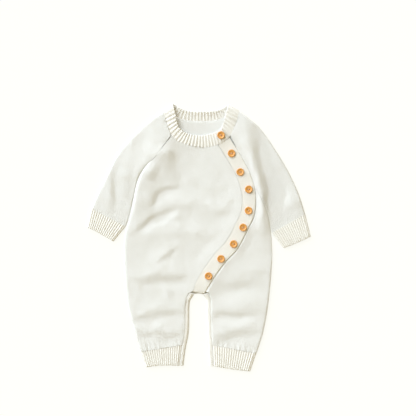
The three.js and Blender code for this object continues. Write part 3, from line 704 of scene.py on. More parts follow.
def front_panel(name, left, right, rolls, roll_widths, edge_tops, top_of, top=None):
    """A panel of the front: its edges roll down to the back, and its leg is gathered to a cuff."""
    middle = lambda t: (left(t) + right(t)) / 2
    v, _ = even_rows(middle, STEP, RIM, RIM)
    grown = patch(left, right, top)

    def at(shares, down):
        wide = apart(right(down), left(down))
        flat = grown(mix(-SEW_IN / wide, 1 + SEW_IN / wide, shares), down)
        near_end = 0.02
        end = np.where(down < 0.5, 1, -1) * SEW_IN * smooth(1 - np.minimum(down, 1 - down) / near_end)
        flat[..., 1] += end
        return flat

    widths = apart(right(v), left(v))
    columns = count_between(widths.max(), STEP, RIM, RIM)
    shares = np.stack([spread(w, columns, RIM, RIM) / w for w in widths])
    down = np.broadcast_to(v[:, None], shares.shape)
    flat = at(shares, down)
    full = top_of(flat[..., 0], flat[..., 1])
    from_left = shares * widths[:, None]
    from_right = (1 - shares) * widths[:, None]
    z = full.copy()
    for gap, roll, width, edge_top in zip((from_left, from_right), rolls, roll_widths, edge_tops):
        z -= roll(down) * fall(gap, width) * (full - edge_top)
    from_top = run_along(middle(v))[:, None]
    from_hem = from_top[-1] - from_top
    inland = smooth(from_left / PUCKER_FADE) * smooth(from_right / PUCKER_FADE)
    z += hem_puckers(from_left, from_hem, len(name)) * inland
    from_edge = np.minimum(from_left, from_right)
    z = np.maximum(z, LAY_LEAST - EDGE_DIP * fall(from_edge, EDGE_ROLL))
    pinch = rim_pinch(sewn=(from_left, from_right, from_top, from_hem))
    under = np.maximum(z - CLOTH, CLOTH + LAYER_GAP)
    z_top = np.maximum(z - pinch, under + LEAST_WALL)
    z_under = np.minimum(under + pinch, z_top - LEAST_WALL)
    return wall(name, lift(flat, z_top), lift(flat, z_under), flat, CLOTH_LOOK)


def over_front():
    outer, inner = column(BAND, "outerX", "outerY"), column(BAND, "innerX", "innerY")
    body_right = inner + unit(inner - outer) * (SEW_IN + 0.1)
    leg_right = np.vstack([body_right[-1], column(OVER_LEG, "rightX", "rightY")])
    share = (len(BAND) - 1) / (len(BAND) + len(OVER_LEG) - 1)
    left = line(np.vstack([column(OVER_BODY, "x", "y"), column(OVER_LEG, "leftX", "leftY")]))
    right = chain(line(body_right), line(leg_right), share)
    side_rolls = [row["roll"] for row in OVER_BODY] + [1] * len(OVER_LEG)
    inner_rolls = [0] * len(BAND) + [0.1, 0.4, 0.8] + [1] * (len(OVER_LEG) - 3)
    rolls = [ramp(side_rolls), ramp(inner_rolls)]
    widths, tops = (SIDE_ROLL, INNER_ROLL), (SIDE_TOP, INNER_TOP)
    return front_panel("front_over_knit", left, right, rolls, widths, tops, over_top, line(OVER_NECK))


def under_front():
    left, right = edge_of(UNDER_FRONT, "left"), edge_of(UNDER_FRONT, "right")
    rolls = [ramp([row[side] for row in UNDER_FRONT]) for side in ("leftRoll", "rightRoll")]
    widths, tops = (INNER_ROLL, SHORT_ROLL), (INNER_TOP, SIDE_TOP)
    return front_panel("front_under_knit", left, right, rolls, widths, tops, under_top)


def button_band():
    """The band lies over both fronts; it is crowned a little, and its outer edge is soft."""
    v, _ = even_rows(band_outer, BAND_STEP, RIM, RIM)
    widths = apart(band_inner(v), band_outer(v))
    rim = np.array(RIM) / BAND_MESHED
    shares = distances(1, BAND_COLUMN, rim, rim)
    down, across = np.meshgrid(v, shares, indexing="ij")
    flat = mix(band_outer(down), band_inner(down), across[..., None])
    gap_out = across * widths[:, None]
    gap_in = (1 - across) * widths[:, None]
    outer_drop = BAND_OUTER_DROP * fall(gap_out, BAND_OUTER_ROLL)
    crown = outer_drop + BAND_INNER_DROP * fall(gap_in, BAND_INNER_ROLL)
    run = run_along(band_outer(v))[:, None]
    end = BAND_END_DROP * fall(run[-1] - run, BAND_END)
    z = over_top(flat[..., 0], flat[..., 1]) - np.maximum(crown, end)
    pinch = rim_pinch(sewn=(gap_in, run, run[-1] - run), free=(gap_out,))
    under = z - BAND_WALL + 0.5 * fall(gap_out, 4) + end / 3
    uv = pairs(gap_out, run)
    return wall("button_band_knit", lift(flat, z - pinch), lift(flat, under + pinch), uv, RIB_LOOK)


def sleeve(name, rows, neck, fold_roll, top_of):
    """A sleeve is one sheet bent round its outer fold, and both its edges meet the body's seams."""
    fold = edge_of(rows, "fold")
    front, back = (patch(fold, edge_of(rows, half), line(neck[half])) for half in ("front", "back"))
    roll = ramp([row["roll"] for row in rows])
    v, _ = even_rows(fold, STEP, RIM, RIM)
    start = front(np.zeros_like(v), v)
    run = run_along(start)[:, None]

    def side(at, step, on_front):
        widths = apart(at(np.ones_like(v), v), start)
        count = count_between(widths.max(), step, FOLD_RIM, RIM)
        gap = np.stack([spread(w, count, FOLD_RIM, RIM) for w in widths])
        shares = gap / widths[:, None]
        down = np.broadcast_to(v[:, None], shares.shape)
        grown = 1 + SEW_IN / widths[:, None]
        out = at(shares * grown, down)
        inset = at(mix(CLOTH / widths[:, None], grown, shares), down)
        pinch = rim_pinch(sewn=(widths[:, None] - gap, run, run[-1] - run))
        if on_front:
            full = top_of(out[..., 0], out[..., 1])
            from_fold = fall(gap, fold_roll)
            from_edge = roll(down) * fall(widths[:, None] - gap, EDGE_ROLL)
            z = full - from_fold * (full - NOSE) - from_edge * (full - EDGE_TOP)
            z_in = np.maximum(z - CLOTH, CLOTH + LAYER_GAP)
            z_out = np.maximum(z - pinch, z_in + LEAST_WALL)
            z_in = np.minimum(z_in + pinch, z_out - LEAST_WALL)
        else:
            z_out = NOSE * fall(gap, 4) + pinch
            z_in = CLOTH - pinch
        uv = pairs(gap if on_front else -gap, run)
        keep = slice(None) if on_front else slice(1, None)
        return lift(out, z_out)[:, keep], lift(inset, z_in)[:, keep], uv[:, keep]

    upper = side(front, STEP, True)
    lower = side(back, UNDER_STEP, False)
    outer, inner, uv = (np.concatenate([a[:, ::-1], b], 1) for a, b in zip(upper, lower))
    return wall(name, outer, inner, uv, CLOTH_LOOK)


def leg_strip(name, rows):
    """A leg's binding: a narrow sheet folded round the leg's edge, over the front and under the back."""
    edge, seam = edge_of(rows, "edge"), edge_of(rows, "seam")
    outer_path = line([
        [1, STRIP_TOP - 0.2], [0.86, STRIP_TOP], [0.6, STRIP_TOP], [0.3, STRIP_TOP - 0.5],
        [0.08, STRIP_TOP - 2], [0, STRIP_TOP / 2], [0.05, 1], [0.2, 0], [0.6, 0], [1, 0.5],
    ])
    inner_path = line([
        [1, STRIP_TOP - 2.5], [0.86, STRIP_TOP - 0.2 - CLOTH], [0.6, STRIP_TOP - CLOTH],
        [0.44, STRIP_TOP - 0.2 - CLOTH], [0.36, STRIP_TOP - 0.6 - CLOTH], [0.33, STRIP_TOP / 2],
        [0.36, CLOTH + 0.2], [0.44, CLOTH], [0.6, CLOTH], [1, CLOTH - 0.5],
    ])
    v, length = even_rows(edge, STEP, RIM, RIM)
    around = np.linspace(0, 1, STRIP_COLUMNS)
    out, inn = outer_path(around), inner_path(around)
    start, end = edge(v)[:, None], seam(v)[:, None]
    run = v[:, None] * length
    ridge = STRIP_RIDGE * np.cos(2 * math.pi * run / STRIP_RIDGE_PITCH)
    raised = 1 + STRIP_RAISE * (1 - smooth(v[:, None] / STRIP_RAISED_SHARE))
    grid = lambda path: lift(mix(start, end, path[None, :, :1]), path[None, :, 1] * raised)
    outer, inner = grid(out), grid(inn)
    outer[..., 2] += ridge * np.sin(math.pi * around) * (out[None, :, 1] > 3)
    uv = pairs(around[None] * STRIP_AROUND, run)
    return wall(name, outer, inner, uv, RIB_LOOK)


def rib_wave(phase):
    """A rib's section: broad rounded tops and narrower grooves, from -1 to 1, with tops at odd phases."""
    wave = -np.cos(math.pi * phase)
    return np.sign(wave) * np.abs(wave) ** 0.8 + 0.12 * (1 - wave**2)


def cuff(row):
    """A cuff is a flattened ring: ribs stand on its upper side, and low ones on the side that rests."""
    corners = column([row], *CUFF_CORNERS.split(" ")).reshape(4, 2)
    seam_left, seam_right, hem_left, hem_right = corners
    outward = unit(np.array([hem_right[1] - hem_left[1], hem_left[0] - hem_right[0]]))
    half = CUFF_HEIGHT / 2
    height = np.linalg.norm((hem_left + hem_right - seam_left - seam_right) / 2)
    run = distances(height, CUFF_STEP, RIM, RIM)
    v = (run / height)[:, None]
    ribs = LEG_CUFF_RIBS if row["name"].startswith("leg") else CUFF_RIBS
    steps = np.linspace(0, 1, ribs * RIB_COLUMNS + 1)
    upper_u = (1 - np.cos(math.pi * steps)) / 2 * CUFF_BUNCH + steps * (1 - CUFF_BUNCH)
    lower_u = upper_u[::-1][1:-1]
    u = np.concatenate([upper_u, lower_u])[None]
    on_top = np.arange(u.size) < len(upper_u)
    left = mix(seam_left, hem_left, v[..., None])
    right = mix(seam_right, hem_right, v[..., None])
    width = apart(right, left)
    bow = 4 * row["bow"] * v * u * (1 - u)
    side = np.minimum(u, 1 - u) * width
    wave = rib_wave(u * (2 * ribs + 2) - 0.5)
    fade = smooth(side / RIB_FADE)
    plain_top = half + (CUFF_HEIGHT - half) * quarter_round(side / CUFF_ROUND)
    z_top = plain_top + CUFF_RIB * wave * fade
    z_low = half * fall(side, CUFF_LOW_ROUND) + CUFF_LOW_RIB * (1 - wave) * fade
    inset = mix(CLOTH / width, 1 - CLOTH / width, u)
    pinch = rim_pinch(sewn=(run[:, None],), free=((height - run)[:, None],))
    z_out = np.where(on_top, z_top - pinch, z_low + pinch)
    inner_top = np.maximum(plain_top - CLOTH - CUFF_INNER_RIB * wave * fade, CLOTH + LAYER_GAP)
    z_in = np.where(on_top, np.minimum(inner_top + pinch, z_out - LEAST_WALL), CLOTH - pinch * 0.9)
    at = lambda share: mix(left, right, share[..., None]) + bow[..., None] * outward
    outer = lift(at(u), z_out)
    inner = lift(at(inset), z_in)
    across = np.concatenate([upper_u, 2 - lower_u, [2]])
    uv = pairs(across[None] * width.mean(), run[:, None])
    return wall(row["name"] + "_knit", outer, inner, uv, RIB_LOOK, around=True)


collar_seam = line(column(COLLAR, "seamX", "seamY", "seamZ"))
collar_free = line(column(COLLAR, "freeX", "freeY", "freeZ"))
collar_rib = ramp([row["rib"] for row in COLLAR])


def collar():
    """The collar is one ribbed strip: its wall waves with the ribs, and its back rests on the floor."""
    middles = (column(COLLAR, "seamX", "seamY") + column(COLLAR, "freeX", "freeY")) / 2
    lengths = np.linalg.norm(np.diff(middles, axis=0), axis=1)
    ribs = np.maximum(1, np.round(lengths / COLLAR_RIB_PITCH))
    counts = np.concatenate([[0], np.cumsum(2 * ribs)])
    phase = np.concatenate([RIM, np.arange(1 / 4, counts[-1], 1 / 4), counts[-1] - np.array(RIM[::-1])])
    phase = np.unique(np.round(phase, 4))
    t = np.interp(phase, counts, np.arange(len(COLLAR))) / (len(COLLAR) - 1)
    run = np.interp(phase, counts, run_along(middles))
    step = 1e-3
    middle = lambda s: collar_seam(s) + collar_free(s)
    along = middle(t + step) - middle(t - step)
    normal = unit(-np.cross(collar_free(t) - collar_seam(t), along))
    heights = apart(collar_free(t), collar_seam(t))
    share = np.array(COLLAR_ROWS)[:, None]
    ends = np.minimum(run, run[-1] - run)[None]
    pinch = rim_pinch(sewn=((share + COLLAR_SINK) * heights,), free=((1 - share) * heights, ends))
    crown = COLLAR_CROWN * np.sin(math.pi * share)
    wave = COLLAR_RIB * rib_wave(phase)[None] * collar_rib(t)[None]
    base = mix(collar_seam(t)[None], collar_free(t)[None], share[..., None])

    def face(side):
        off = side * (CLOTH / 2 - pinch) + wave + crown
        points = base + normal[None] * off[..., None]
        points[..., 2] = np.maximum(points[..., 2], ABOVE_FLOOR)
        return points

    uv = pairs(run[None], share * COLLAR_WIDTH)
    return wall("collar_knit", face(1), face(-1), uv, RIB_LOOK)


def loop_turn(loop):
    """The direction to the left at each corner of a closed loop."""
    tangent = np.roll(loop, -1, axis=0) - np.roll(loop, 1, axis=0)
    return unit(to_left(tangent))


def inside(points, loop):
    """Whether each point lies in a closed loop of corners."""
    x, y = points[:, 0][:, None], points[:, 1][:, None]
    ax, ay = loop[:, 0], loop[:, 1]
    bx, by = np.roll(ax, -1), np.roll(ay, -1)
    crossing = (ay > y) != (by > y)
    slope = np.where(by == ay, 1, by - ay)
    return np.sum(crossing & (x < (bx - ax) * (y - ay) / slope + ax), 1) % 2 == 1


def gap_to(points, loop):
    """Each point's distance to a closed loop of corners."""
    _, _, away = nearest(points, loop, np.roll(loop, -1, axis=0) - loop)
    return away.min(1)


# A plate's fill, in shares of its spacing: how far apart its rows are, and how clear of the edges it stays
GRID_ROWS = 0.866
CLEAR_OF_RINGS = 0.6
CLEAR_AT_MOST = 0.9
CLEAR_OF_HOLES = 0.4


def plate(name, outline, holes, rings, spacing, top_of, low_of, uv_of, material):
    """A closed plate with holes: rings of points follow its outline, and a loose grid fills it."""
    loops = [outline, *holes]
    points, edges = [], []
    for loop in loops:
        first = sum(len(p) for p in points)
        points.append(loop)
        edges += [(first + i, first + (i + 1) % len(loop)) for i in range(len(loop))]
    low, high = outline.min(0), outline.max(0)
    xs = np.arange(low[0], high[0], spacing)
    ys = np.arange(low[1], high[1], spacing * GRID_ROWS)
    grid = np.array([[x + spacing / 2 * (j % 2), y] for j, y in enumerate(ys) for x in xs])
    clear = min(rings[-1] + spacing * CLEAR_OF_RINGS, spacing * CLEAR_AT_MOST)
    fits = inside(grid, outline) & (gap_to(grid, outline) > clear)
    for hole in holes:
        fits &= ~inside(grid, hole) & (gap_to(grid, hole) > spacing * CLEAR_OF_HOLES)
    points.append(grid[fits])
    turn = loop_turn(outline)
    spin = np.sum(outline[:, 0] * np.roll(outline[:, 1], -1) - np.roll(outline[:, 0], -1) * outline[:, 1])
    points += [outline + turn * np.sign(spin) * ring for ring in rings]
    flat = np.concatenate(points)
    made = delaunay_2d_cdt([Vector(p) for p in flat], edges, [], 0, 1e-5)
    flat = np.array([[p.x, p.y] for p in made[0]])
    faces = np.array(made[2])
    middle = flat[faces].mean(1)
    kept = inside(middle, outline)
    for hole in holes:
        kept &= ~inside(middle, hole)
    faces = faces[kept]
    a, b, c = (flat[faces[:, k]] for k in range(3))
    turned = (b[:, 0] - a[:, 0]) * (c[:, 1] - a[:, 1]) - (b[:, 1] - a[:, 1]) * (c[:, 0] - a[:, 0]) < 0
    faces[turned] = faces[turned][:, ::-1]
    used = np.unique(faces)
    renumber = np.full(len(flat), -1)
    renumber[used] = np.arange(len(used))
    flat, faces = flat[used], renumber[faces]
    count = len(flat)
    sides = {(int(f[k]), int(f[(k + 1) % 3])) for f in faces for k in range(3)}
    rim = [(p, q) for p, q in sides if (q, p) not in sides]
    walls = [[p, p + count, q + count, q] for p, q in sorted(rim)]
    gap = np.minimum.reduce([gap_to(flat, loop) for loop in loops])
    top = np.column_stack([flat, top_of(flat, gap)])
    low = np.column_stack([flat, low_of(flat, gap)])
    all_faces = [list(f) for f in faces] + [list(f[::-1] + count) for f in faces] + walls
    uv = uv_of(np.concatenate([flat, flat]))
    corners = np.concatenate([uv[f] for f in all_faces])
    return new_piece(name, np.concatenate([top, low]), all_faces, corners, material)


def back_panel():
    """The back of the body and both legs: flat inside, and a little uneven where it rests."""
    along = lambda points, count: line(points)(np.linspace(0, 1, count))

    def leg_seam(rows):
        points = column(rows[:LEG_ROWS], "seamX", "seamY")
        return points + [np.sign(points[0, 0]) * SEAM_GAP, SEAM_GAP]

    outline = np.concatenate([
        along(BACK_NECK, 31)[:-1],
        along(BACK_LEFT, 150),
        along(leg_seam(STRIP_LEFT)[::-1], 41),
        along(BACK_CROTCH, 8),
        along(leg_seam(STRIP_RIGHT), 41),
        along(BACK_RIGHT, 150)[:-1],
    ])
    outline = outline[apart(outline, np.roll(outline, -1, axis=0)) > LEAST_APART]
    outline = outline - loop_turn(outline) * SEAM_GAP
    pinch = lambda gap: rim_pinch(free=(gap,))

    def low_of(flat, gap):
        creases = sum(crease_at(fold, -flat[:, 0], flat[:, 1]) for fold in FOLDS)
        return pinch(gap) + np.clip(BACK_FOLLOW * creases * smooth(gap / BACK_FADE), 0, BACK_LIFT)

    top_of = lambda flat, gap: CLOTH - pinch(gap)
    return plate(
        "back_knit", outline, [], RIM[1:], BACK_SPACING,
        top_of, low_of, lambda points: points, CLOTH_LOOK,
    )


def ring(radius, count, centre):
    angle = np.linspace(0, 2 * math.pi, count, endpoint=False)
    return np.column_stack([np.cos(angle), np.sin(angle)]) * radius + centre


def button(number, turn):
    """A turned wooden button: a raised rim, a dished middle and two sewing holes."""
    low, high = (np.array(corner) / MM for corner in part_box(f"button_{number}"))
    centre, base, tall = (low + high)[:2] / 2, low[2], high[2] - low[2]
    angle = math.radians(turn)
    across = np.array([math.cos(angle), math.sin(angle)])
    up = np.array([-across[1], across[0]])
    holes = [ring(BUTTON_HOLE, 18, centre + across * s * BUTTON_HOLE_SPACING / 2) for s in (-1, 1)]

    def top_of(flat, gap):
        r = apart(flat, centre)
        hole_edge = HOLE_DROP * (1 - np.minimum(gap, HOLE_ROLL) / HOLE_ROLL) ** 2
        return base + tall * np.interp(r, *BUTTON_PROFILE.T) - np.where(r < BUTTON_DISH, hole_edge, 0)

    def low_of(flat, gap):
        outward = (apart(flat, centre) - BUTTON_FOOT) / (BUTTON_RADIUS - BUTTON_FOOT)
        return base + tall * BUTTON_UNDERCUT * smooth(outward) ** 2

    grain_apart = 40
    uv_of = lambda p: pairs((p - centre) @ across + grain_apart * number, (p - centre) @ up)
    piece = plate(
        f"button_{number}_wood", ring(BUTTON_RADIUS, 72, centre), holes, BUTTON_RINGS, BUTTON_SPACING,
        top_of, low_of, uv_of, WOOD_LOOK,
    )
    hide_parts(f"button_{number}")
    return centre, across, up, base, tall


def tubes(name, strands, material, sides=6):
    """Short lengths of yarn as one mesh: each strand is its points and the radius at each."""
    vertices, faces = [], []
    for points, radii in strands:
        points, radii = np.asarray(points, float), np.asarray(radii, float)
        way = unit(np.gradient(points, axis=0))
        aside = unit(np.cross(way, [0, 0, 1]))
        above = np.cross(aside, way)
        angle = np.linspace(0, 2 * math.pi, sides, endpoint=False)
        circle = aside[:, None] * np.cos(angle)[:, None] + above[:, None] * np.sin(angle)[:, None]
        first, count = len(vertices), len(points)
        vertices += list((points[:, None] + circle * radii[:, None, None]).reshape(-1, 3))
        at = lambda i, k: first + i * sides + k % sides
        quads = [(i, k) for i in range(count - 1) for k in range(sides)]
        faces += [[at(i, k), at(i + 1, k), at(i + 1, k + 1), at(i, k + 1)] for i, k in quads]
        faces.append([at(0, k) for k in range(sides)])
        faces.append([at(count - 1, k) for k in reversed(range(sides))])
    vertices = np.array(vertices)
    corners = np.concatenate([vertices[f][:, :2] for f in faces])
    return new_piece(name, vertices, faces, corners, material)


def button_thread(buttons):
    """Three turns of sewing thread between each button's two holes."""
    strands = []
    for centre, across, up, base, tall in buttons:
        for aside in (-THREAD_APART, 0, THREAD_APART):
            s = np.linspace(-1, 1, 9)
            reach = BUTTON_HOLE_SPACING / 2 + THREAD_PAST
            flat = centre + across * (s * reach)[:, None] + up * (aside * (1 - 0.3 * s**2))[:, None]
            height = base + tall * 0.6 + THREAD_ARCH - THREAD_DIVE * np.abs(s) ** 5
            strands.append((np.column_stack([flat, height]), np.full(9, THREAD_RADIUS)))
    return tubes("button_thread", strands, THREAD_LOOK)


def path_beside(path, off):
    """A path of points that runs beside another, this far to its left."""
    way = np.gradient(path, axis=0)
    return path + off * unit(to_left(way))


def stitch_row(path, top_of, pitch, length, radius, turn):
    """Small loops of yarn that lie on the cloth along a path of points, each turned from it."""
    run = run_along(path)
    places = np.arange(pitch / 2, run[-1], pitch)
    on_path = lambda s: np.column_stack([np.interp(s, run, path[:, k]) for k in range(2)])
    middle = on_path(places)
    ahead = unit(on_path(places + 0.5) - middle)
    cos, sin = math.cos(turn), math.sin(turn)
    way = np.column_stack([ahead[:, 0] * cos - ahead[:, 1] * sin, ahead[:, 0] * sin + ahead[:, 1] * cos])
    s = np.array([-0.5, -0.3, 0, 0.3, 0.5])
    strands = []
    for centre, direction in zip(middle, way):
        flat = centre + direction * (s * length)[:, None]
        z = top_of(flat[:, 0], flat[:, 1]) - STITCH_SINK + np.array([-0.1, 0.15, 0.25, 0.15, -0.1])
        strands.append((np.column_stack([flat, z]), radius * np.array([0.55, 0.95, 1, 0.95, 0.55])))
    return strands


def math_node(tree, operation, *values):
    node = tree.nodes.new("ShaderNodeMath")
    node.operation = operation
    for socket, value in zip(node.inputs, values):
        if isinstance(value, (int, float)):
            socket.default_value = value
        else:
            tree.links.new(value, socket)
    return node.outputs[0]


def noise_node(tree, vector, scale, detail, roughness=0.55):
    node = tree.nodes.new("ShaderNodeTexNoise")
    node.inputs["Scale"].default_value = scale
    node.inputs["Detail"].default_value = detail
    node.inputs["Roughness"].default_value = roughness
    tree.links.new(vector, node.inputs["Vector"])
    return node.outputs[0]


def mix_colour(tree, factor, a, b):
    node = tree.nodes.new("ShaderNodeMix")
    node.data_type = "RGBA"
    tree.links.new(factor, node.inputs[0])
    node.inputs[6].default_value = (*a, 1)
    node.inputs[7].default_value = (*b, 1)
    return node.outputs[2]


def new_look(name, settings):
    material = bpy.data.materials.new(name)
    material.use_nodes = True
    tree = material.node_tree
    shader = tree.nodes["Principled BSDF"]
    for setting, value in settings.items():
        shader.inputs[setting].default_value = value
    return material, tree, shader


def knit_map(tree):
    """Each point's place in its piece's own knit, in millimetres."""
    uv = tree.nodes.new("ShaderNodeUVMap")
    uv.uv_map = "knit"
    return uv.outputs[0]


def bump(tree, shader, height, distance):
    node = tree.nodes.new("ShaderNodeBump")
    node.inputs["Strength"].default_value = 1
    node.inputs["Distance"].default_value = distance * MM
    tree.links.new(height, node.inputs["Height"])
    tree.links.new(node.outputs[0], shader.inputs["Normal"])


def knit_look(name, wale, course, light, painted_shade, depth):
    """Plain knit: columns of plump V stitches, with a fine fuzz and a slightly uneven yarn. Its colour
    holds painted shade: it darkens towards the shade colour in the grooves between the stitches.
    """
    settings = {"Roughness": 0.92, "Sheen Weight": 0.12, "Sheen Roughness": 0.5}
    material, tree, shader = new_look(name, settings)
    uv = knit_map(tree)
    split = tree.nodes.new("ShaderNodeSeparateXYZ")
    tree.links.new(uv, split.inputs[0])
    across, along = split.outputs[0], split.outputs[1]
    place = math_node(tree, "FRACT", math_node(tree, "DIVIDE", across, wale))
    leg = math_node(tree, "ABSOLUTE", math_node(tree, "MULTIPLY_ADD", place, 2.0, -1.0))
    plump = math_node(tree, "SINE", math_node(tree, "MULTIPLY", leg, math.pi))
    climb = math_node(tree, "MULTIPLY_ADD", leg, 0.75, math_node(tree, "DIVIDE", along, course))
    turn = math_node(tree, "SINE", math_node(tree, "MULTIPLY", climb, 2 * math.pi))
    loops = math_node(tree, "MULTIPLY_ADD", turn, 0.35, 0.65)
    height = math_node(tree, "MULTIPLY", plump, loops)
    fuzz = noise_node(tree, uv, 3.0, 4.0, 0.7)
    rough_height = math_node(tree, "MULTIPLY_ADD", fuzz, 0.35, height)
    patches = noise_node(tree, uv, 0.05, 3.0)
    # Painted shade: low stitch height turns the colour darker in the grooves, and random patches add
    # uneven yarn tone
    painted_shade_and_patches = math_node(tree, "MULTIPLY_ADD", height, 0.55, math_node(tree, "MULTIPLY", patches, 0.6))
    clamp = tree.nodes.new("ShaderNodeClamp")
    tree.links.new(painted_shade_and_patches, clamp.inputs[0])
    tree.links.new(mix_colour(tree, clamp.outputs[0], painted_shade, light), shader.inputs["Base Color"])
    bump(tree, shader, rough_height, depth)
    return material


def wood_look():
    """Pale varnished wood, stained orange: a stretched grain with darker lines."""
    settings = {"Roughness": 0.38, "Coat Weight": 0.15, "Coat Roughness": 0.3}
    material, tree, shader = new_look("button_wood", settings)
    stretch = tree.nodes.new("ShaderNodeMapping")
    stretch.inputs["Scale"].default_value = (0.08, 0.9, 1)
    tree.links.new(knit_map(tree), stretch.inputs[0])
    grain = noise_node(tree, stretch.outputs[0], 1.6, 6.0, 0.65)
    ramp_node = tree.nodes.new("ShaderNodeValToRGB")
    stops = ramp_node.color_ramp.elements
    stops[0].position, stops[0].color = 0.35, (*WOOD_DARK, 1)
    stops[1].position, stops[1].color = 0.62, (*WOOD_LIGHT, 1)
    tree.links.new(grain, ramp_node.inputs[0])
    tree.links.new(ramp_node.outputs[0], shader.inputs["Base Color"])
    bump(tree, shader, grain, 0.12)
    return material


def thread_look():
    material, tree, shader = new_look("sewing_thread", {"Roughness": 0.8})
    twist = noise_node(tree, knit_map(tree), 5.0, 2.0)
    tree.links.new(mix_colour(tree, twist, THREAD_DARK, THREAD_LIGHT), shader.inputs["Base Color"])
    bump(tree, shader, twist, 0.1)
    return material


# Finishes, the floor with its two sizes in metres, and the light
# The cream and rib shade colours are painted shade, laid into the grooves between the stitches
CREAM_LIGHT = (0.92, 0.92, 0.89)
CREAM_PAINTED_SHADE = (0.83, 0.82, 0.77)
RIB_LIGHT = (0.95, 0.935, 0.88)
RIB_PAINTED_SHADE = (0.87, 0.84, 0.76)
WOOD_LIGHT = (0.86, 0.44, 0.12)
WOOD_DARK = (0.62, 0.25, 0.05)
THREAD_LIGHT = (0.8, 0.55, 0.38)
THREAD_DARK = (0.62, 0.34, 0.2)
FLOOR_COLOUR = (0.12, 0.12, 0.118)
FLOOR_GLOW = (1, 1, 0.94)
FLOOR_STRENGTH = 0.9
FLOOR_HALF = 6
FLOOR_DROP = 0.0003
KEY_COLOUR = (0.85, 0.97, 1.15)
KEY_STRENGTH = 4.65
KEY_HEIGHT = math.radians(30)
KEY_SIDE = math.radians(135)
KEY_SOFTNESS = math.radians(75)
SKY_COLOUR = (1, 0.82, 0.43)
SKY_STRENGTH = 0.455
CLOTH_LOOK = knit_look("fine_knit", wale=1.8, course=1.3, light=CREAM_LIGHT, painted_shade=CREAM_PAINTED_SHADE, depth=0.35)
RIB_LOOK = knit_look("rib_knit", wale=1.6, course=1.3, light=RIB_LIGHT, painted_shade=RIB_PAINTED_SHADE, depth=0.3)
WOOD_LOOK = wood_look()
THREAD_LOOK = thread_look()
YARN_LOOK = knit_look("yarn", wale=0.9, course=0.9, light=CREAM_LIGHT, painted_shade=CREAM_PAINTED_SHADE, depth=0.05)


def floor():
    """A plain pale floor, bright enough that thin cloth throws almost no shadow on it."""
    square = (-1, -1), (1, -1), (1, 1), (-1, 1)
    corners = [(x * FLOOR_HALF, y * FLOOR_HALF, -FLOOR_DROP) for x, y in square]
    mesh = bpy.data.meshes.new("floor")
    mesh.from_pydata(corners, [], [(0, 1, 2, 3)])
    look, _, _ = new_look("floor_white", {
        "Roughness": 1,
        "Base Color": (*FLOOR_COLOUR, 1),
        "Specular IOR Level": 0,
        "Emission Color": (*FLOOR_GLOW, 1),
        "Emission Strength": FLOOR_STRENGTH,
    })
    mesh.materials.append(look)
    add("floor", mesh)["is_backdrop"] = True


def lights():
    """Soft studio light: a low key from the upper left, and pale light from all round."""
    key = bpy.data.lights.new("key", "SUN")
    key.energy = KEY_STRENGTH
    key.angle = KEY_SOFTNESS
    key.color = KEY_COLOUR
    lamp = add("key", key)
    toward = Vector((
        math.cos(KEY_HEIGHT) * math.cos(KEY_SIDE),
        math.cos(KEY_HEIGHT) * math.sin(KEY_SIDE),
        math.sin(KEY_HEIGHT),
    ))
    lamp.rotation_mode = "QUATERNION"
    lamp.rotation_quaternion = toward.to_track_quat("Z", "Y")
    world = bpy.data.worlds.new("studio")
    world.use_nodes = True
    sky = world.node_tree.nodes["Background"]
    sky.inputs[0].default_value = (*SKY_COLOUR, 1)
    sky.inputs[1].default_value = SKY_STRENGTH
    bpy.context.scene.world = world
    bpy.context.scene.view_settings.view_transform = "Standard"


def camera():
    """Straight down over the flat garment, with its neck at the picture's top."""
    data = bpy.data.cameras.new("camera")
    data.sensor_width = SENSOR
    data.lens = SENSOR * CAMERA_HEIGHT / VIEW_WIDTH
    data.clip_end = 100
    view = add("camera", data)
    view.location = (VIEW_CENTRE[0] * MM, VIEW_CENTRE[1] * MM, (CAMERA_HEIGHT + LAY) * MM)
    bpy.context.scene.camera = view


camera()
floor()
lights()

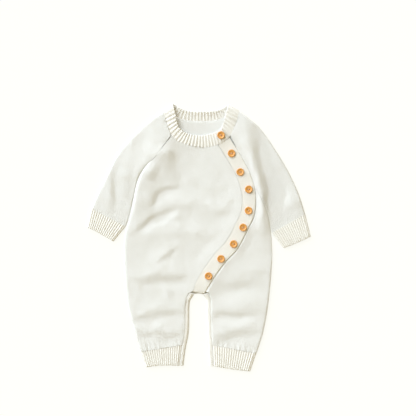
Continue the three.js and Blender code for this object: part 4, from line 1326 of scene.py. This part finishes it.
panels = {
    "back": back_panel(),
    "front_over": over_front(),
    "front_under": under_front(),
    "sleeve_right": sleeve("sleeve_right_knit", SLEEVE_RIGHT, SLEEVE_RIGHT_NECK, SIDE_ROLL, lay),
    "sleeve_left": sleeve("sleeve_left_knit", SLEEVE_LEFT, SLEEVE_LEFT_NECK, SHORT_ROLL, under_top),
    "leg_strip_right": leg_strip("leg_strip_right_knit", STRIP_RIGHT),
    "leg_strip_left": leg_strip("leg_strip_left_knit", STRIP_LEFT),
    "collar": collar(),
    "button_band": button_band(),
}
for row in CUFFS:
    panels[row["name"]] = cuff(row)
for node, piece in panels.items():
    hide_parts(node)

# What each sheet was cut to, in metres, and what it lies on
CUTS = table("node width length area held under", [
    ["back", 0.3, 0.5, 0.107, "laid", []],
    ["front_over", 0.26, 0.435, 0.066, "laid", ["back"]],
    ["front_under", 0.15, 0.435, 0.0345, "laid", ["back"]],
    ["sleeve_right", 0.19, 0.25, 0.0295, "folded", []],
    ["sleeve_left", 0.2, 0.26, 0.0315, "folded", []],
    ["sleeve_cuff_right", 0.15, 0.036, 0.0054, "laid", []],
    ["sleeve_cuff_left", 0.156, 0.037, 0.0057, "laid", []],
    ["leg_cuff_right", 0.152, 0.037, 0.0055, "laid", []],
    ["leg_cuff_left", 0.166, 0.04, 0.0065, "laid", []],
    ["leg_strip_right", 0.0185, 0.145, 0.0026, "folded", []],
    ["leg_strip_left", 0.0185, 0.145, 0.0026, "folded", []],
    ["collar", 0.35, 0.0225, 0.0078, "laid", ["back"]],
    ["button_band", 0.027, 0.36, 0.0095, "laid", ["front_over", "front_under"]],
])
for row in CUTS:
    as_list(row["under"])

buttons = [button(i + 1, turn) for i, turn in enumerate(BUTTON_TURNS)]
button_thread(buttons)

# Small stitches: the joining loops along the band, and the marks where the right raglan narrows
band_join = path_beside(band_inner(np.linspace(0.03, 0.985, 200)), -1.3)
raglan = path_beside(line(RAGLAN_RIGHT)(np.linspace(0, 1, 60)), 7.5)
loops = stitch_row(band_join, over_top, pitch=2.6, length=1.7, radius=0.34, turn=math.pi / 2)
loops += stitch_row(raglan, over_top, pitch=6, length=2.6, radius=0.42, turn=0.5)
tubes("linking_stitches", loops, YARN_LOOK, sides=5)

plain = [[list(map(float, corner)) for corner in box] for box in (cad_box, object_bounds())]
